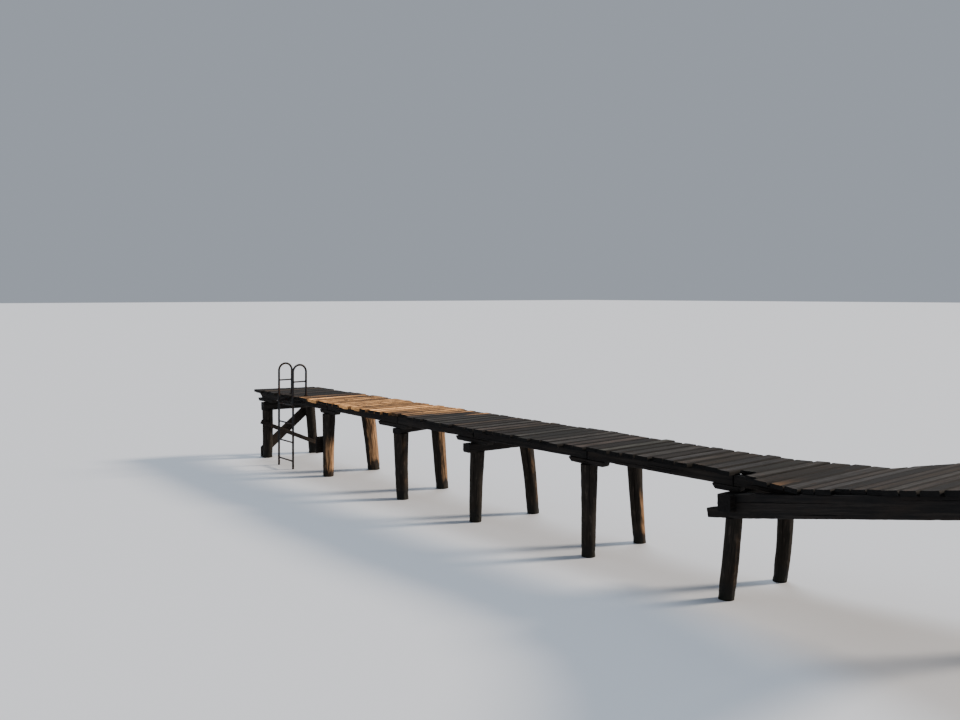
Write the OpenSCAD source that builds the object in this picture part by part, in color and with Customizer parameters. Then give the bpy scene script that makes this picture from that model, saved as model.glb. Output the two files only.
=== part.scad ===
// A narrow wooden jetty on round posts. Its cross-laid boards run from a braced end
// bent with a pipe ladder, over the water, to a level landing and a splayed ramp.
// Millimetres. +X runs from the lake end to the bank and +Z is up, with the water
// at z = 0. The near side, where the ladder hangs, is towards -Y.

/* [Bays] */
// Length of bay 1, at the lake end
bay_1 = 2160; // [1700:10:2600]
// Length of bay 2
bay_2 = 1875; // [1500:5:2400]
// Length of bay 3
bay_3 = 1805; // [1500:5:2400]
// Length of bay 4
bay_4 = 1845; // [1500:5:2400]
// Length of bay 5
bay_5 = 1813; // [1500:1:2400]
// Length of the bay next to the bank, under the landing and the ramp
bay_6 = 2700; // [2400:10:2900]
// Length of the level landing past bent 6
landing_l = 950; // [800:10:1200]

/* [Levels] */
// Top of the boards above the water at bent 1
deck_z = 1153; // [1000:1:1400]
// Rise of the boards from bent 1 to bent 6
deck_rise = 47; // [0:1:100]
// Slope of the ramp in degrees
ramp_slope = 11.3; // [7:0.1:14]

/* [Posts] */
// Usual diameter of a post at the water
post_d = 160; // [150:1:180]
// Spacing of the two posts of a bent, across the jetty
post_row = 848; // [780:1:920]
// Spacing of the two posts next to the bank
shore_row = 2350; // [2200:10:2450]
// Share of its diameter that a post gains from the water to its top
post_flare = 0.16; // [0:0.01:0.25]

/* [Headstocks] */
// Usual depth of the cross beams on the posts
headstock_h = 130; // [115:1:145]
// Width of the cross beams
headstock_w = 140; // [110:1:160]
// Length of a cross beam past the middle of its far post's top
headstock_end = 145; // [120:1:200]
// Thickness of the corbels between cross beam and stringer
corbel_h = 55; // [40:1:70]
// Width of the corbels
corbel_w = 105; // [80:1:120]

/* [Stringers] */
// Depth of the stringers
stringer_h = 104; // [90:1:130]
// Width of the stringers
stringer_w = 90; // [70:1:110]
// Spacing of the two stringers, centre to centre
stringer_row = 820; // [760:1:880]
// Reach of the stringers past the boards at the lake end
stringer_past = 25; // [0:5:60]
// Height of the cut under the stringers' lake ends
end_cut_h = 22; // [10:1:40]
// Length of the cut under the stringers' lake ends
end_cut_l = 150; // [80:10:200]

/* [Boards] */
// Thickness of the boards
board_t = 46; // [35:1:60]
// Usual spacing of the boards on the level deck
board_pitch = 165; // [140:1:200]
// Usual spacing of the boards on the ramp
ramp_pitch = 180; // [150:1:210]
// Usual gap between two boards
board_gap = 15; // [6:1:20]
// Gap between the landing and the ramp
elbow_gap = 15; // [8:1:25]
// Most that a board's end stands in or out of line
end_jog = 30; // [0:1:45]
// Most that a joint between two boards stands out of its place
joint_jog = 11; // [0:1:16]
// Usual reach of the boards from the middle to the near edge
deck_near = 545; // [520:1:600]
// Reach of the boards from the middle to the far edge
deck_far = 495; // [470:1:560]
// Reach of the boards to either edge where the ramp begins
elbow_half = 745; // [700:5:820]
// Reach of the boards to either edge at the ramp's end
ramp_half = 1325; // [1300:5:1450]
// Length of the deck past bent 1, at its near edge
deck_start = 285; // [240:5:310]
// Slant of the deck's lake end, as a share of its width
end_slant = 0.22; // [0:0.01:0.25]
// Number of boards that share out this slant
slant_boards = 8; // [4:1:12]
// Length of the ramp past the bent next to the bank
ramp_end = 190; // [150:5:260]
// Reach to the near side of the one broken board on the landing
broken_reach = 415; // [250:5:450]
// Distance of the broken board past bent 6
broken_past = 200; // [150:10:400]

/* [Ramp beams] */
// Width of the two splayed beams under the ramp
ramp_beam_w = 115; // [90:1:140]
// Depth of a splayed beam at its lake end
ramp_beam_h = 220; // [190:1:240]
// Depth of a splayed beam at the bank
ramp_beam_end_h = 162; // [150:1:190]
// Depth left at the halved end of a splayed beam
ramp_stub_h = 92; // [80:1:105]
// Length of the halved end past the middle of bent 6
ramp_stub_l = 330; // [250:5:400]
// Length of a splayed beam's flat underside past bent 6
ramp_heel = 160; // [80:10:250]
// Length of a splayed beam's flat underside before the last cross beam
ramp_toe = 300; // [150:10:400]
// Reach of the ramp's beams and joist past the last cross beam's middle
ramp_past = 110; // [80:5:140]
// Reach of the ramp's corbel towards the lake
ramp_corbel_lake = 200; // [120:10:250]
// Reach of the ramp's corbel towards the bank
ramp_corbel_bank = 150; // [100:10:170]
// Depth of the bearer under the stringers' ends
bearer_h = 100; // [80:1:120]
// Reach of the bearer towards the lake from the elbow
bearer_lake = 80; // [60:5:120]
// Reach of the bearer towards the bank from the elbow
bearer_bank = 95; // [75:5:130]

/* [End bent] */
// Width of the diagonal plank on the lake side
brace_w = 160; // [110:1:175]
// Reach of the diagonal plank's foot past the middle of the near post
brace_toe = 70; // [40:5:120]
// Length of the diagonal plank's head past its far post
brace_head = 40; // [20:5:60]
// Width of the flatter plank on the bank side
rail_w = 70; // [50:1:100]
// Length of the flatter plank past its near post
rail_near = 190; // [120:10:250]
// Length of the flatter plank past its far post
rail_far = 130; // [100:10:250]
// Thickness of both planks
brace_t = 32; // [22:1:40]
// Depth of the old plank end on post 2
old_end_h = 255; // [180:5:300]
// Length of the old plank end on post 2
old_end_l = 235; // [180:5:300]
// Height of the old plank end above the water
old_end_z = 350; // [250:10:500]

/* [Ladder] */
// Diameter of the ladder's pipe
pipe_d = 34; // [25:1:40]
// Diameter of the rungs and the grab bars
rung_d = 24; // [18:1:25]
// Place of the first rail along the jetty
ladder_x = 785; // [600:5:900]
// Spacing of the two rails
ladder_w = 495; // [400:1:560]
// Number of rungs
rungs = 4; // [3:1:4]
// Height of the lowest rung above the water
rung_first = 125; // [80:5:160]
// Spacing of the rungs
rung_step = 298; // [250:1:300]
// Height of the rails' loops above the boards
loop_h = 520; // [450:5:650]
// Spacing of the two legs of a loop, across the jetty
loop_w = 230; // [200:5:280]
// Height of the grab bars above the boards
grab_h = 232; // [200:1:280]
// Clear space between the boards' ends and the rails
rail_clear = 6; // [3:1:20]

/* [Hidden] */
NEAR = -1;
FAR = 1;
// Clearance between pieces that are nailed or hung against each other
seat = 0.3;
// Gap between timbers that meet end to end
butt = 5;
post_sides = 16;
post_rings = 8;
chamfer = 12;
corbel_lip = 15;
// Length of the diagonal plank past its near post before the water trims it
brace_foot = 200;
pipe_fn = 32;

// Middle of each bent along the jetty, and how far its near and its far post
// stand from there towards the bank
bays = [bay_1, bay_2, bay_3, bay_4, bay_5, bay_6];
function run(k) = k == 0 ? 0 : run(k - 1) + bays[k - 1];
bents = [for (k = [0:6]) run(k)];
near_shift = [0, -45, 127, -66, 40, 0, 0];
far_shift = [58, -94, -115, 50, 5, 0, 0];

// Bents 2 and 5 have no cross beam: there the corbels lie on the posts themselves.
// The others differ from the usual depth and in their reach past the near post.
BEAMED = [0, 2, 3, 5];
beam_extra = [10, 0, -55, -22, 0, 30];
near_reach = [95, 0, 100, 175, 0, 168];

// Each post's difference from the usual diameter and from the usual flare, the lean
// of its top along and across the jetty, and its bow along and across, near side and
// then far side. The logs stand with their thick ends up.
near_girth = [14, 12, 14, -4, -8, -6, 6];
far_girth = [7, 45, 26, -3, -14, -17, 2];
near_flare = [-0.1, 0.04, 0.06, 0.01, 0.04, -0.16, -0.11];
far_flare = [-0.1, 0.02, -0.07, 0, 0.04, -0.04, -0.11];
near_lean = [[0, 0], [10, 4], [-45, 6], [41, 0], [17, -3], [90, 0], [0, 0]];
far_lean = [[0, -65], [-20, -110], [37, -108], [-33, -88], [-20, -70], [66, 0], [0, 0]];
near_bow = [[0, 5], [6, -6], [-19, 8], [-15, 6], [5, -5], [10, -6], [6, 5]];
far_bow = [[0, 7], [27, -8], [-8, 7], [-4, 14], [5, -12], [11, 6], [-8, -6]];

// Length of each corbel from its cross beam towards the lake and the bank
near_lake = [293, 220, 480, 350, 275, 235];
far_lake = [150, 220, 480, 350, 275, 235];
corbel_bank = [240, 255, 230, 290, 250, 70];

// How much farther than usual the boards' near edge reaches, at places along the
// deck that count in bays from bent 1
near_edge = [
    [-0.1, 30], [-0.05, 0], [0.7, 0], [0.9, 45], [2, 45], [2.1, -75], [2.3, 45], [2.8, 70], [3.9, 75],
    [4.2, 30], [4.4, -25], [4.5, -25], [4.6, -65], [4.7, -25], [4.9, -85], [5, 0]
];

// How far the stringers wander towards the near side at each bent
near_wander = [0, 0, 30, 35, 10, -15];
far_wander = [40, 70, 45, 60, 50, 0];

// The deck lies on a plane that rises gently to the bank, and the ramp on a
// steeper one that meets it at the elbow. On both, w counts from the boards' tops.
deck_tilt = atan2(deck_rise, bents[5]);
elbow_x = bents[5] + landing_l;
function deck_level(x, w) = deck_z + x * tan(deck_tilt) + w / cos(deck_tilt);
elbow_z = deck_level(elbow_x, 0);
function ramp_level(x, w) = elbow_z + (x - elbow_x) * tan(ramp_slope) + w / cos(ramp_slope);
function deck_u(x) = x / cos(deck_tilt);
function ramp_u(x, w) = (x - elbow_x + w * sin(ramp_slope)) / cos(ramp_slope);
elbow_u = deck_u(elbow_x);

// Levels below the boards' tops
stringer_w0 = -board_t - stringer_h;
headstock_w1 = stringer_w0 - corbel_h;
function headstock_w0(k) = headstock_w1 - headstock_h - beam_extra[k];
ramp_beam_w0 = -board_t - ramp_beam_h;
shore_head_w1 = -board_t - ramp_beam_end_h;
shore_head_w0 = shore_head_w1 - headstock_h;

// Middle of the last bent's cross beam on the ramp's plane, and the ramp's length
shore_u = ramp_u(bents[6], shore_head_w0);
ramp_l = shore_u + ramp_end;

// Posts: the foot, the top's middle, and the level of the seat on it
function row_of(k) = k == 6 ? shore_row : post_row;
function pick(side, near, far) = side == NEAR ? near : far;
function foot_x(k, side) = bents[k] + pick(side, near_shift, far_shift)[k];
function foot_y(k, side) = side * row_of(k) / 2;
function lean(k, side) = pick(side, near_lean, far_lean)[k];
function bow(k, side) = pick(side, near_bow, far_bow)[k];
function girth(k, side) = post_d + pick(side, near_girth, far_girth)[k];
function flare(k, side) = post_flare + pick(side, near_flare, far_flare)[k];
function top_x(k, side) = foot_x(k, side) + lean(k, side)[0];
function top_y(k, side) = foot_y(k, side) + lean(k, side)[1];
function post_seat(k, x) =
    k == 6 ? ramp_level(x, shore_head_w0)
    : k == 5 ? ramp_level(x, ramp_beam_w0)
    : k == 1 || k == 4 ? deck_level(x, headstock_w1)
    : deck_level(x, headstock_w0(k));

// A post is a log: its axis leans and bows, it flares towards its top, and it is a
// little out of round. t counts from 0 at the water to 1 at the seat.
function log_x(k, side, t) = foot_x(k, side) + lean(k, side)[0] * t + bow(k, side)[0] * sin(180 * t);
function log_y(k, side, t) = foot_y(k, side) + lean(k, side)[1] * t + bow(k, side)[1] * sin(180 * t);
function round_off(k, side, a) = 1 + 0.02 * cos(2 * a + 70 * k) + 0.012 * cos(3 * a + 50 * side + 35 * k);
function log_r(k, side, t, a) = girth(k, side) / 2 * (1 + flare(k, side) * t * t) * round_off(k, side, a);
function log_point(k, side, t, a) =
    let (x = log_x(k, side, t) + log_r(k, side, t, a) * cos(a))
    let (y = log_y(k, side, t) + log_r(k, side, t, a) * sin(a))
    [x, y, t * post_seat(k, x)];

// Crossing of a bent's cross beam with a line along the jetty
function head_x(k, y) =
    let (share = (y - top_y(k, NEAR)) / (top_y(k, FAR) - top_y(k, NEAR)))
    top_x(k, NEAR) + share * (top_x(k, FAR) - top_x(k, NEAR));

// Middle line of a stringer at a bent
function stringer_y(k, side) =
    side * stringer_row / 2 - pick(side, near_wander, far_wander)[k];
function stringer_x(k, side) = head_x(k, stringer_y(k, side));

// A fixed, uneven value between -1 and 1 for each pair of whole numbers
function uneven(i, k) = sin(47.3 * i * i + 113 * i + 71 * k);

// Joints between the boards: their place along the deck and their slant
deck_n = round((elbow_u + deck_start) / board_pitch);
deck_step = (elbow_u + deck_start) / deck_n;
ramp_n = round(ramp_l / ramp_pitch);
ramp_step = ramp_l / ramp_n;
function inner(i, n) = i > 0 && i < n ? 1 : 0;
function fan(i) = end_slant * max(0, 1 - i / slant_boards);
function deck_joint(i, v) =
    -deck_start + i * deck_step + fan(i) * (v + deck_near)
    + inner(i, deck_n) * (joint_jog * uneven(i, 1) + 0.006 * v * uneven(i, 2));
function ramp_joint(i, v) =
    i * ramp_step + inner(i, ramp_n) * (joint_jog * uneven(i, 6) + 0.005 * v * uneven(i, 7));
function half_gap(i, n) =
    i == 0 ? 0 : i == n ? elbow_gap / 2 : board_gap / 2 * (1 + 0.35 * uneven(i, 3));

// Reach of the boards to each side, which grows past bent 6. Each board's near end
// is as far out as the uneven edge is at its middle.
flare_u = deck_u(bents[5]) + 60;
function share_of(a, b, u) = max(0, min(1, (u - a) / (b - a)));
function deck_reach(u, side) =
    let (level = pick(side, deck_near, deck_far))
    level + (elbow_half - level) * share_of(flare_u, elbow_u, u);
function ramp_reach(u) = elbow_half + (ramp_half - elbow_half) * u / ramp_l;
function board_mid(i) = -deck_start + (i + 0.5) * deck_step;
function in_bays(u) = u < 0 ? u / bays[0] : lookup(u, [for (k = [0:5]) [deck_u(bents[k]), k]]);
function near_more(i) = lookup(in_bays(board_mid(i)), near_edge) + end_jog * uneven(i, 4);
function bay_of(i) = len([for (k = [1:5]) if (board_mid(i) > deck_u(bents[k])) k]);
broken_i = floor((deck_u(bents[5]) + broken_past + deck_start) / deck_step);

// Lake end of the first stringers
function stringer_u(side) = deck_joint(0, stringer_y(0, side)) - stringer_past;

// The whole stands with the middle of its length over the origin
function at_x(u, w) = u * cos(deck_tilt) - w * sin(deck_tilt);
board_u = deck_joint(0, -deck_reach(deck_joint(0, 0), NEAR) - near_more(0));
corbel_u = stringer_x(0, NEAR) - near_lake[0];
lake_x = min(at_x(board_u, 0), at_x(stringer_u(NEAR), -board_t), at_x(corbel_u, stringer_w0));
bank_x = elbow_x + ramp_l * cos(ramp_slope) + board_t * sin(ramp_slope);
mid_x = (lake_x + bank_x) / 2;

// Ladder
rails_x = [ladder_x, ladder_x + ladder_w];
rail_y = -deck_near - end_jog - rail_clear - pipe_d / 2;
inner_y = rail_y + loop_w;
function arc_z(x) = deck_level(x, 0) + loop_h - loop_w / 2 - pipe_d / 2;
stringer_face = stringer_y(0, NEAR) - stringer_w / 2;
bracket_t = 8;
collar_h = 34;
foot_d = 76;

BENTS = [1:7];

// Frames: the whole, the deck's plane and the ramp's plane

module placed() {
    translate([-mid_x, 0, 0]) children();
}

module on_deck() {
    placed() translate([0, 0, deck_z]) rotate([0, -deck_tilt, 0]) children();
}

module on_ramp() {
    placed() translate([elbow_x, 0, elbow_z]) rotate([0, -ramp_slope, 0]) children();
}

// Posts

module post(k, side) {
    ring = [for (s = [0:post_sides - 1]) 360 * s / post_sides];
    points = [for (j = [0:post_rings]) each [for (a = ring) log_point(k, side, j / post_rings, a)]];
    foot = [for (s = [0:post_sides - 1]) s];
    top = [for (s = [post_sides - 1:-1:0]) post_rings * post_sides + s];
    bark = [
        for (j = [0:post_rings - 1]) for (s = [0:post_sides - 1])
            let (a = j * post_sides + s)
            let (b = j * post_sides + (s + 1) % post_sides)
            each [[a, a + post_sides, b], [b, a + post_sides, b + post_sides]]
    ];
    color("#4a3b2e") placed() polyhedron(points, concat([foot], [top], bark));
}

// Cross beams: a squared timber with its edges taken off

module squared(length, width, depth) {
    c = chamfer;
    rotate([90, 0, 0])
        linear_extrude(length, center = true)
            polygon([
                [-width / 2 + c, 0], [width / 2 - c, 0], [width / 2, c], [width / 2, depth - c],
                [width / 2 - c, depth], [-width / 2 + c, depth], [-width / 2, depth - c], [-width / 2, c]
            ]);
}

module headstock(k) {
    dx = top_x(k, FAR) - top_x(k, NEAR);
    dy = top_y(k, FAR) - top_y(k, NEAR);
    length = near_reach[k] + norm([dx, dy]) + headstock_end;
    color("#3f3329")
        on_deck() translate([top_x(k, NEAR), top_y(k, NEAR), headstock_w0(k)])
            rotate([0, 0, -atan2(dx, dy)]) translate([0, length / 2 - near_reach[k], 0])
                squared(length, headstock_w, headstock_h + beam_extra[k]);
}

module shore_headstock() {
    length = shore_row + 2 * headstock_end;
    color("#3f3329")
        on_ramp() translate([shore_u, 0, shore_head_w0]) squared(length, headstock_w, headstock_h);
}

// Corbels: short lengths under the stringers, their ends cut back underneath

module corbel(lake, bank, depth) {
    cut = depth * 0.6;
    rotate([90, 0, 0])
        linear_extrude(corbel_w, center = true)
            polygon([
                [-lake, depth], [-lake, depth - corbel_lip], [-lake + cut, 0],
                [bank - cut / 2, 0], [bank, depth]
            ]);
}

module corbels(side) {
    color("#463a2f")
        for (k = [0:5])
            on_deck() translate([stringer_x(k, side), stringer_y(k, side), headstock_w1])
                corbel(pick(side, near_lake, far_lake)[k], corbel_bank[k], corbel_h);
}

module ramp_corbel() {
    depth = ramp_beam_end_h - stringer_h;
    color("#463a2f")
        on_ramp() translate([shore_u, 0, shore_head_w1]) corbel(ramp_corbel_lake, ramp_corbel_bank, depth);
}

// Stringers: one length to a bay, butted over the corbels. Their lake ends run out
// past the boards and are cut up from below.

module stringer(side, a, b, u0, u1) {
    y0 = stringer_y(a, side);
    y1 = stringer_y(b, side);
    h = stringer_w / 2;
    on_deck() translate([0, 0, stringer_w0])
        linear_extrude(stringer_h) polygon([[u0, y0 - h], [u1, y1 - h], [u1, y1 + h], [u0, y0 + h]]);
}

module stringers(side) {
    color("#4d4034") {
        difference() {
            stringer(side, 0, 1, stringer_u(side), stringer_x(1, side) - butt / 2);
            on_deck() translate([stringer_u(side), stringer_y(0, side), stringer_w0])
                rotate([90, 0, 0]) linear_extrude(2 * stringer_w, center = true)
                    polygon([[-butt, -butt], [end_cut_l, -butt], [end_cut_l, 0], [0, end_cut_h], [-butt, end_cut_h]]);
        }
        for (k = [1:4])
            stringer(side, k, k + 1, stringer_x(k, side) + butt / 2, stringer_x(k + 1, side) - butt / 2);
        stringer(side, 5, 5, stringer_x(5, side) + butt / 2, elbow_u - butt);
    }
}

// Boards: each has its own width, slant and ends

module board(x00, x01, x10, x11, near0, near1, far0, far1) {
    translate([0, 0, -board_t])
        linear_extrude(board_t) polygon([[x00, -near0], [x10, -near1], [x11, far1], [x01, far0]]);
}

module deck_board(i) {
    a = half_gap(i, deck_n);
    b = half_gap(i + 1, deck_n);
    u0 = deck_joint(i, 0);
    u1 = deck_joint(i + 1, 0);
    far_jog = end_jog * uneven(i, 5);
    near0 = i == broken_i ? broken_reach : deck_reach(u0, NEAR) + near_more(i);
    near1 = i == broken_i ? broken_reach - 20 : deck_reach(u1, NEAR) + near_more(i);
    far0 = deck_reach(u0, FAR) + far_jog;
    far1 = deck_reach(u1, FAR) + far_jog;
    board(
        deck_joint(i, -near0) + a, deck_joint(i, far0) + a,
        deck_joint(i + 1, -near1) - b, deck_joint(i + 1, far1) - b,
        near0, near1, far0, far1
    );
}

module deck_bay(k) {
    color("#8d7f6c")
        for (i = [0:deck_n - 1])
            if (bay_of(i) == k) on_deck() deck_board(i);
}

module ramp_board(i) {
    a = i == 0 ? elbow_gap / 2 : half_gap(i, ramp_n);
    b = i == ramp_n - 1 ? 0 : half_gap(i + 1, ramp_n);
    last = i == ramp_n - 1 ? 0 : 1;
    near_jog = last * end_jog * uneven(i, 8);
    far_jog = last * end_jog * uneven(i, 9);
    r0 = ramp_reach(i * ramp_step);
    r1 = ramp_reach((i + 1) * ramp_step);
    board(
        ramp_joint(i, -r0) + a, ramp_joint(i, r0) + a,
        ramp_joint(i + 1, -r1) - b, ramp_joint(i + 1, r1) - b,
        r0 + near_jog, r1 + near_jog, r0 + far_jog, r1 + far_jog
    );
}

module ramp_deck() {
    color("#8d7f6c")
        for (i = [0:ramp_n - 1]) on_ramp() ramp_board(i);
}

// Splayed beams under the ramp: their lake ends are halved under the cross beam
// of bent 6 and rest on its posts, and their bank ends rest on the last cross beam

function splay_u(side) = ramp_u(top_x(5, side), ramp_beam_w0);
function splay_run(side) = shore_u - splay_u(side);
function splay_rise(side) = (shore_row - post_row) / 2;
function splay_angle(side) = atan2(splay_rise(side), splay_run(side));

module ramp_beam(side) {
    span = norm([splay_run(side), splay_rise(side)]);
    stub_top = ramp_beam_w0 + ramp_stub_h;
    profile = [
        [-ramp_stub_l, ramp_beam_w0], [ramp_heel, ramp_beam_w0], [span - ramp_toe, shore_head_w1],
        [span + ramp_past, shore_head_w1], [span + ramp_past, -board_t], [0, -board_t], [0, stub_top],
        [-ramp_stub_l, stub_top]
    ];
    color("#3b3027")
        difference() {
            on_ramp() translate([splay_u(side), side * post_row / 2, 0])
                rotate([0, 0, side * splay_angle(side)])
                    rotate([90, 0, 0]) linear_extrude(ramp_beam_w, center = true) polygon(profile);
            on_deck() translate([head_x(5, side * post_row / 2), side * post_row / 2, headstock_w0(5)])
                rotate([0, 0, -atan2(top_x(5, FAR) - top_x(5, NEAR), post_row)])
                    translate([-headstock_w / 2 - seat, -headstock_end * 2, 0])
                        cube([headstock_w + 2 * seat, headstock_end * 4, 2 * headstock_h]);
        }
}

// The bearer hangs between the splayed beams. Its top is planed to two slopes, for
// the ends of the stringers and for the foot of the joist.

module landing_bearer() {
    bend = ramp_slope - deck_tilt;
    c = -stringer_w0 * tan(bend / 2);
    w0 = stringer_w0 - bearer_h;
    past = 2 * (bearer_lake + bearer_bank);
    gap = ramp_beam_w / 2 + seat;
    near_v = function(u) -post_row / 2 - (u - splay_u(NEAR)) * tan(splay_angle(NEAR)) + gap / cos(splay_angle(NEAR));
    far_v = function(u) post_row / 2 + (u - splay_u(FAR)) * tan(splay_angle(FAR)) - gap / cos(splay_angle(FAR));
    color("#43372c")
        intersection() {
            on_deck() translate([elbow_u, 0, 0]) rotate([90, 0, 0])
                linear_extrude(2 * elbow_half, center = true)
                    polygon([
                        [-bearer_lake, w0], [bearer_bank, w0],
                        [bearer_bank, stringer_w0 + (bearer_bank - c) * tan(bend)],
                        [c, stringer_w0], [-bearer_lake, stringer_w0]
                    ]);
            on_ramp() translate([0, 0, 2 * w0]) linear_extrude(-2 * w0)
                polygon([[-past, near_v(-past)], [past, near_v(past)], [past, far_v(past)], [-past, far_v(-past)]]);
        }
}

module ramp_joist() {
    color("#4d4034")
        on_ramp() translate([butt, -stringer_w / 2, -board_t - stringer_h])
            cube([shore_u + ramp_past - butt, stringer_w, stringer_h]);
}

// Planks nailed to the posts. The plank's middle line runs from p to q on its back
// face and past both, and its thickness lies on the side that out points to.

module nailed_plank(p, q, width, before, after, out) {
    d = q - p;
    flat = norm([d[0], d[1]]);
    translate(p) rotate([0, -atan2(d[2], flat), atan2(d[1], d[0])])
        translate([-before, out == 1 ? 0 : -brace_t, -width / 2])
            cube([norm(d) + before + after, brace_t, width]);
}

// A point on a log's skin, set off by the seat and by what the log's flare adds
// under one half of a plank of the width w

function skin(k, side, t, a, w) =
    let (p = log_point(k, side, t, a))
    let (swell = 0.7 * w * abs(flare(k, side)) * girth(k, side) * t / post_seat(k, p[0]))
    [p[0] + (seat + swell) * cos(a), p[1], p[2]];

// The diagonal plank stands upright-cut in the water at its foot and is cut off
// under the cross beam, and the flatter one runs past both posts

module end_brace() {
    block = [post_row, 2 * post_row, post_row];
    color("#43372b")
        difference() {
            placed()
                nailed_plank(
                    skin(0, NEAR, 0.16, 180, brace_w), skin(0, FAR, 0.97, 180, brace_w), brace_w,
                    brace_foot, brace_head, 1
                );
            placed() translate([-post_row, -post_row, -post_row]) cube(block);
            placed() translate([-post_row, foot_y(0, NEAR) - brace_toe - post_row, 0]) cube(post_row);
            on_deck() translate([-post_row, -post_row, headstock_w0(0) - seat]) cube(block);
        }
}

module end_rail() {
    color("#57493b")
        placed()
            nailed_plank(
                skin(0, NEAR, 0.69, 0, rail_w), skin(0, FAR, 0.24, 0, rail_w), rail_w, rail_near, rail_far, 0
            );
}

// The old plank end stands on edge against the outermost part of its post

module old_plank_end() {
    seat_z = post_seat(1, foot_x(1, NEAR));
    skins = [for (share = [0, 0.5, 1]) skin(1, NEAR, (old_end_z + share * old_end_h) / seat_z, 180, 0)[0]];
    color("#3f3329")
        placed() translate([min(skins) - brace_t, foot_y(1, NEAR) - 0.72 * old_end_l, old_end_z])
            cube([brace_t, old_end_l, old_end_h]);
}

// Ladder: each rail runs up out of the water, loops over and comes down on the boards

module ladder_rail(x) {
    z = arc_z(x);
    floor_z = deck_level(x, 0);
    color("#5a4234")
        placed() {
            translate([x, rail_y, 0]) cylinder(h = z, d = pipe_d, $fn = pipe_fn);
            translate([x, rail_y + loop_w / 2, z]) rotate([90, 0, 90])
                rotate_extrude(angle = 180, $fn = 2 * pipe_fn)
                    translate([loop_w / 2, 0]) circle(d = pipe_d, $fn = pipe_fn);
            translate([x, inner_y, floor_z + 3]) cylinder(h = z - floor_z - 3, d = pipe_d, $fn = pipe_fn);
            translate([x, inner_y, floor_z]) rotate([0, -deck_tilt, 0])
                translate([0, 0, seat]) cylinder(h = 7, d = foot_d, $fn = pipe_fn);
        }
}

module ladder_rungs() {
    color("#5a4234")
        for (j = [0:rungs - 1])
            placed() difference() {
                translate([rails_x[0], rail_y, rung_first + j * rung_step])
                    rotate([0, 90, 0]) cylinder(h = ladder_w, d = rung_d, $fn = pipe_fn);
                for (x = rails_x)
                    translate([x, rail_y, 0])
                        cylinder(h = deck_level(x, 0), d = pipe_d + 2 * seat, $fn = pipe_fn);
            }
}

module ladder_grab_bars() {
    color("#5a4234")
        for (x = rails_x)
            placed() difference() {
                translate([x, inner_y, deck_level(x, 0) + grab_h])
                    rotate([90, 0, 0]) cylinder(h = loop_w, d = rung_d, $fn = pipe_fn);
                for (y = [rail_y, inner_y])
                    translate([x, y, deck_level(x, 0)])
                        cylinder(h = loop_h / 2 + rung_d, d = pipe_d + 2 * seat, $fn = pipe_fn);
            }
}

// A collar round each rail, on an arm from a plate on the near stringer

module ladder_brackets() {
    color("#4b3a2f")
        for (x = rails_x) {
            z = deck_level(x, stringer_w0) + stringer_h / 2;
            placed() difference() {
                union() {
                    translate([x, rail_y, z - collar_h / 2])
                        cylinder(h = collar_h, d = pipe_d + 2 * bracket_t, $fn = pipe_fn);
                    translate([x - bracket_t / 2, rail_y, z - collar_h / 2])
                        cube([bracket_t, stringer_face - seat - rail_y, collar_h]);
                    translate([x - 35, stringer_face - seat - bracket_t, z - collar_h / 2])
                        cube([70, bracket_t, collar_h]);
                }
                translate([x, rail_y, z - collar_h])
                    cylinder(h = 2 * collar_h, d = pipe_d + 2 * seat, $fn = pipe_fn);
            }
        }
}

for (k = BENTS) post(k - 1, NEAR);
for (k = BENTS) post(k - 1, FAR);
for (k = BEAMED) headstock(k);
shore_headstock();  // headstock_7
for (k = [1:5]) deck_bay(k - 1);
corbels(NEAR);  // corbels_near
corbels(FAR);  // corbels_far
ramp_corbel();
stringers(NEAR);  // stringers_near
stringers(FAR);  // stringers_far
deck_bay(5);  // landing_deck
ramp_deck();
ramp_beam(NEAR);  // ramp_beam_near
ramp_beam(FAR);  // ramp_beam_far
ramp_joist();
landing_bearer();
end_brace();
end_rail();
old_plank_end();
ladder_rail(rails_x[0]);  // ladder_rail_left
ladder_rail(rails_x[1]);  // ladder_rail_right
ladder_rungs();
ladder_grab_bars();
ladder_brackets();
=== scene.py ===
"""The wooden jetty, dressed: worn and split boards, checked timbers, round posts with
drying cracks and a wet foot, nails with rust under them, and a rusty pipe ladder.

Metres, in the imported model's own frame: +X runs from the lake end to the bank, +Z is
up, the water lies at z = 0, and the ladder hangs on the near side, towards -Y.
"""

import math

import bmesh
import bpy
import numpy as np
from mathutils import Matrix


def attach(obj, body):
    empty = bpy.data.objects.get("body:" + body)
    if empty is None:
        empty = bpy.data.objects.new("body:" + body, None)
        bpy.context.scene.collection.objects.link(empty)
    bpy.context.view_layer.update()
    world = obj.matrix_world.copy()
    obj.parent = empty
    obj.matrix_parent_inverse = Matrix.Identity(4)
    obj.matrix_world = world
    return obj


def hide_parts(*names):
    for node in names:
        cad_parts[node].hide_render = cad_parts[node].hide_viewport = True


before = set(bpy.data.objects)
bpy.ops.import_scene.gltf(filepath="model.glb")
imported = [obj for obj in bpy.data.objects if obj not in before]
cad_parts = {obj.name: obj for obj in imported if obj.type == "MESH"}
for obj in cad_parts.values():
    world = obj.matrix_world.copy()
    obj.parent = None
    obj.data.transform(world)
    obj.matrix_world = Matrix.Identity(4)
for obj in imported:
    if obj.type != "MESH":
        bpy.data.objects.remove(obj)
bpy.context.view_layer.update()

# The plan of the jetty. Lengths along it count from the first bent.
MID_X = 6.01794
BAYS = [2.160, 1.875, 1.805, 1.845, 1.813, 2.700]
BENTS = np.concatenate([[0.0], np.cumsum(BAYS)])
DECK_Z, DECK_RISE = 1.153, 0.047
DECK_TILT = math.atan2(DECK_RISE, BENTS[5])
RAMP_SLOPE = math.radians(11.3)
ELBOW_X = BENTS[5] + 0.950
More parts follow.
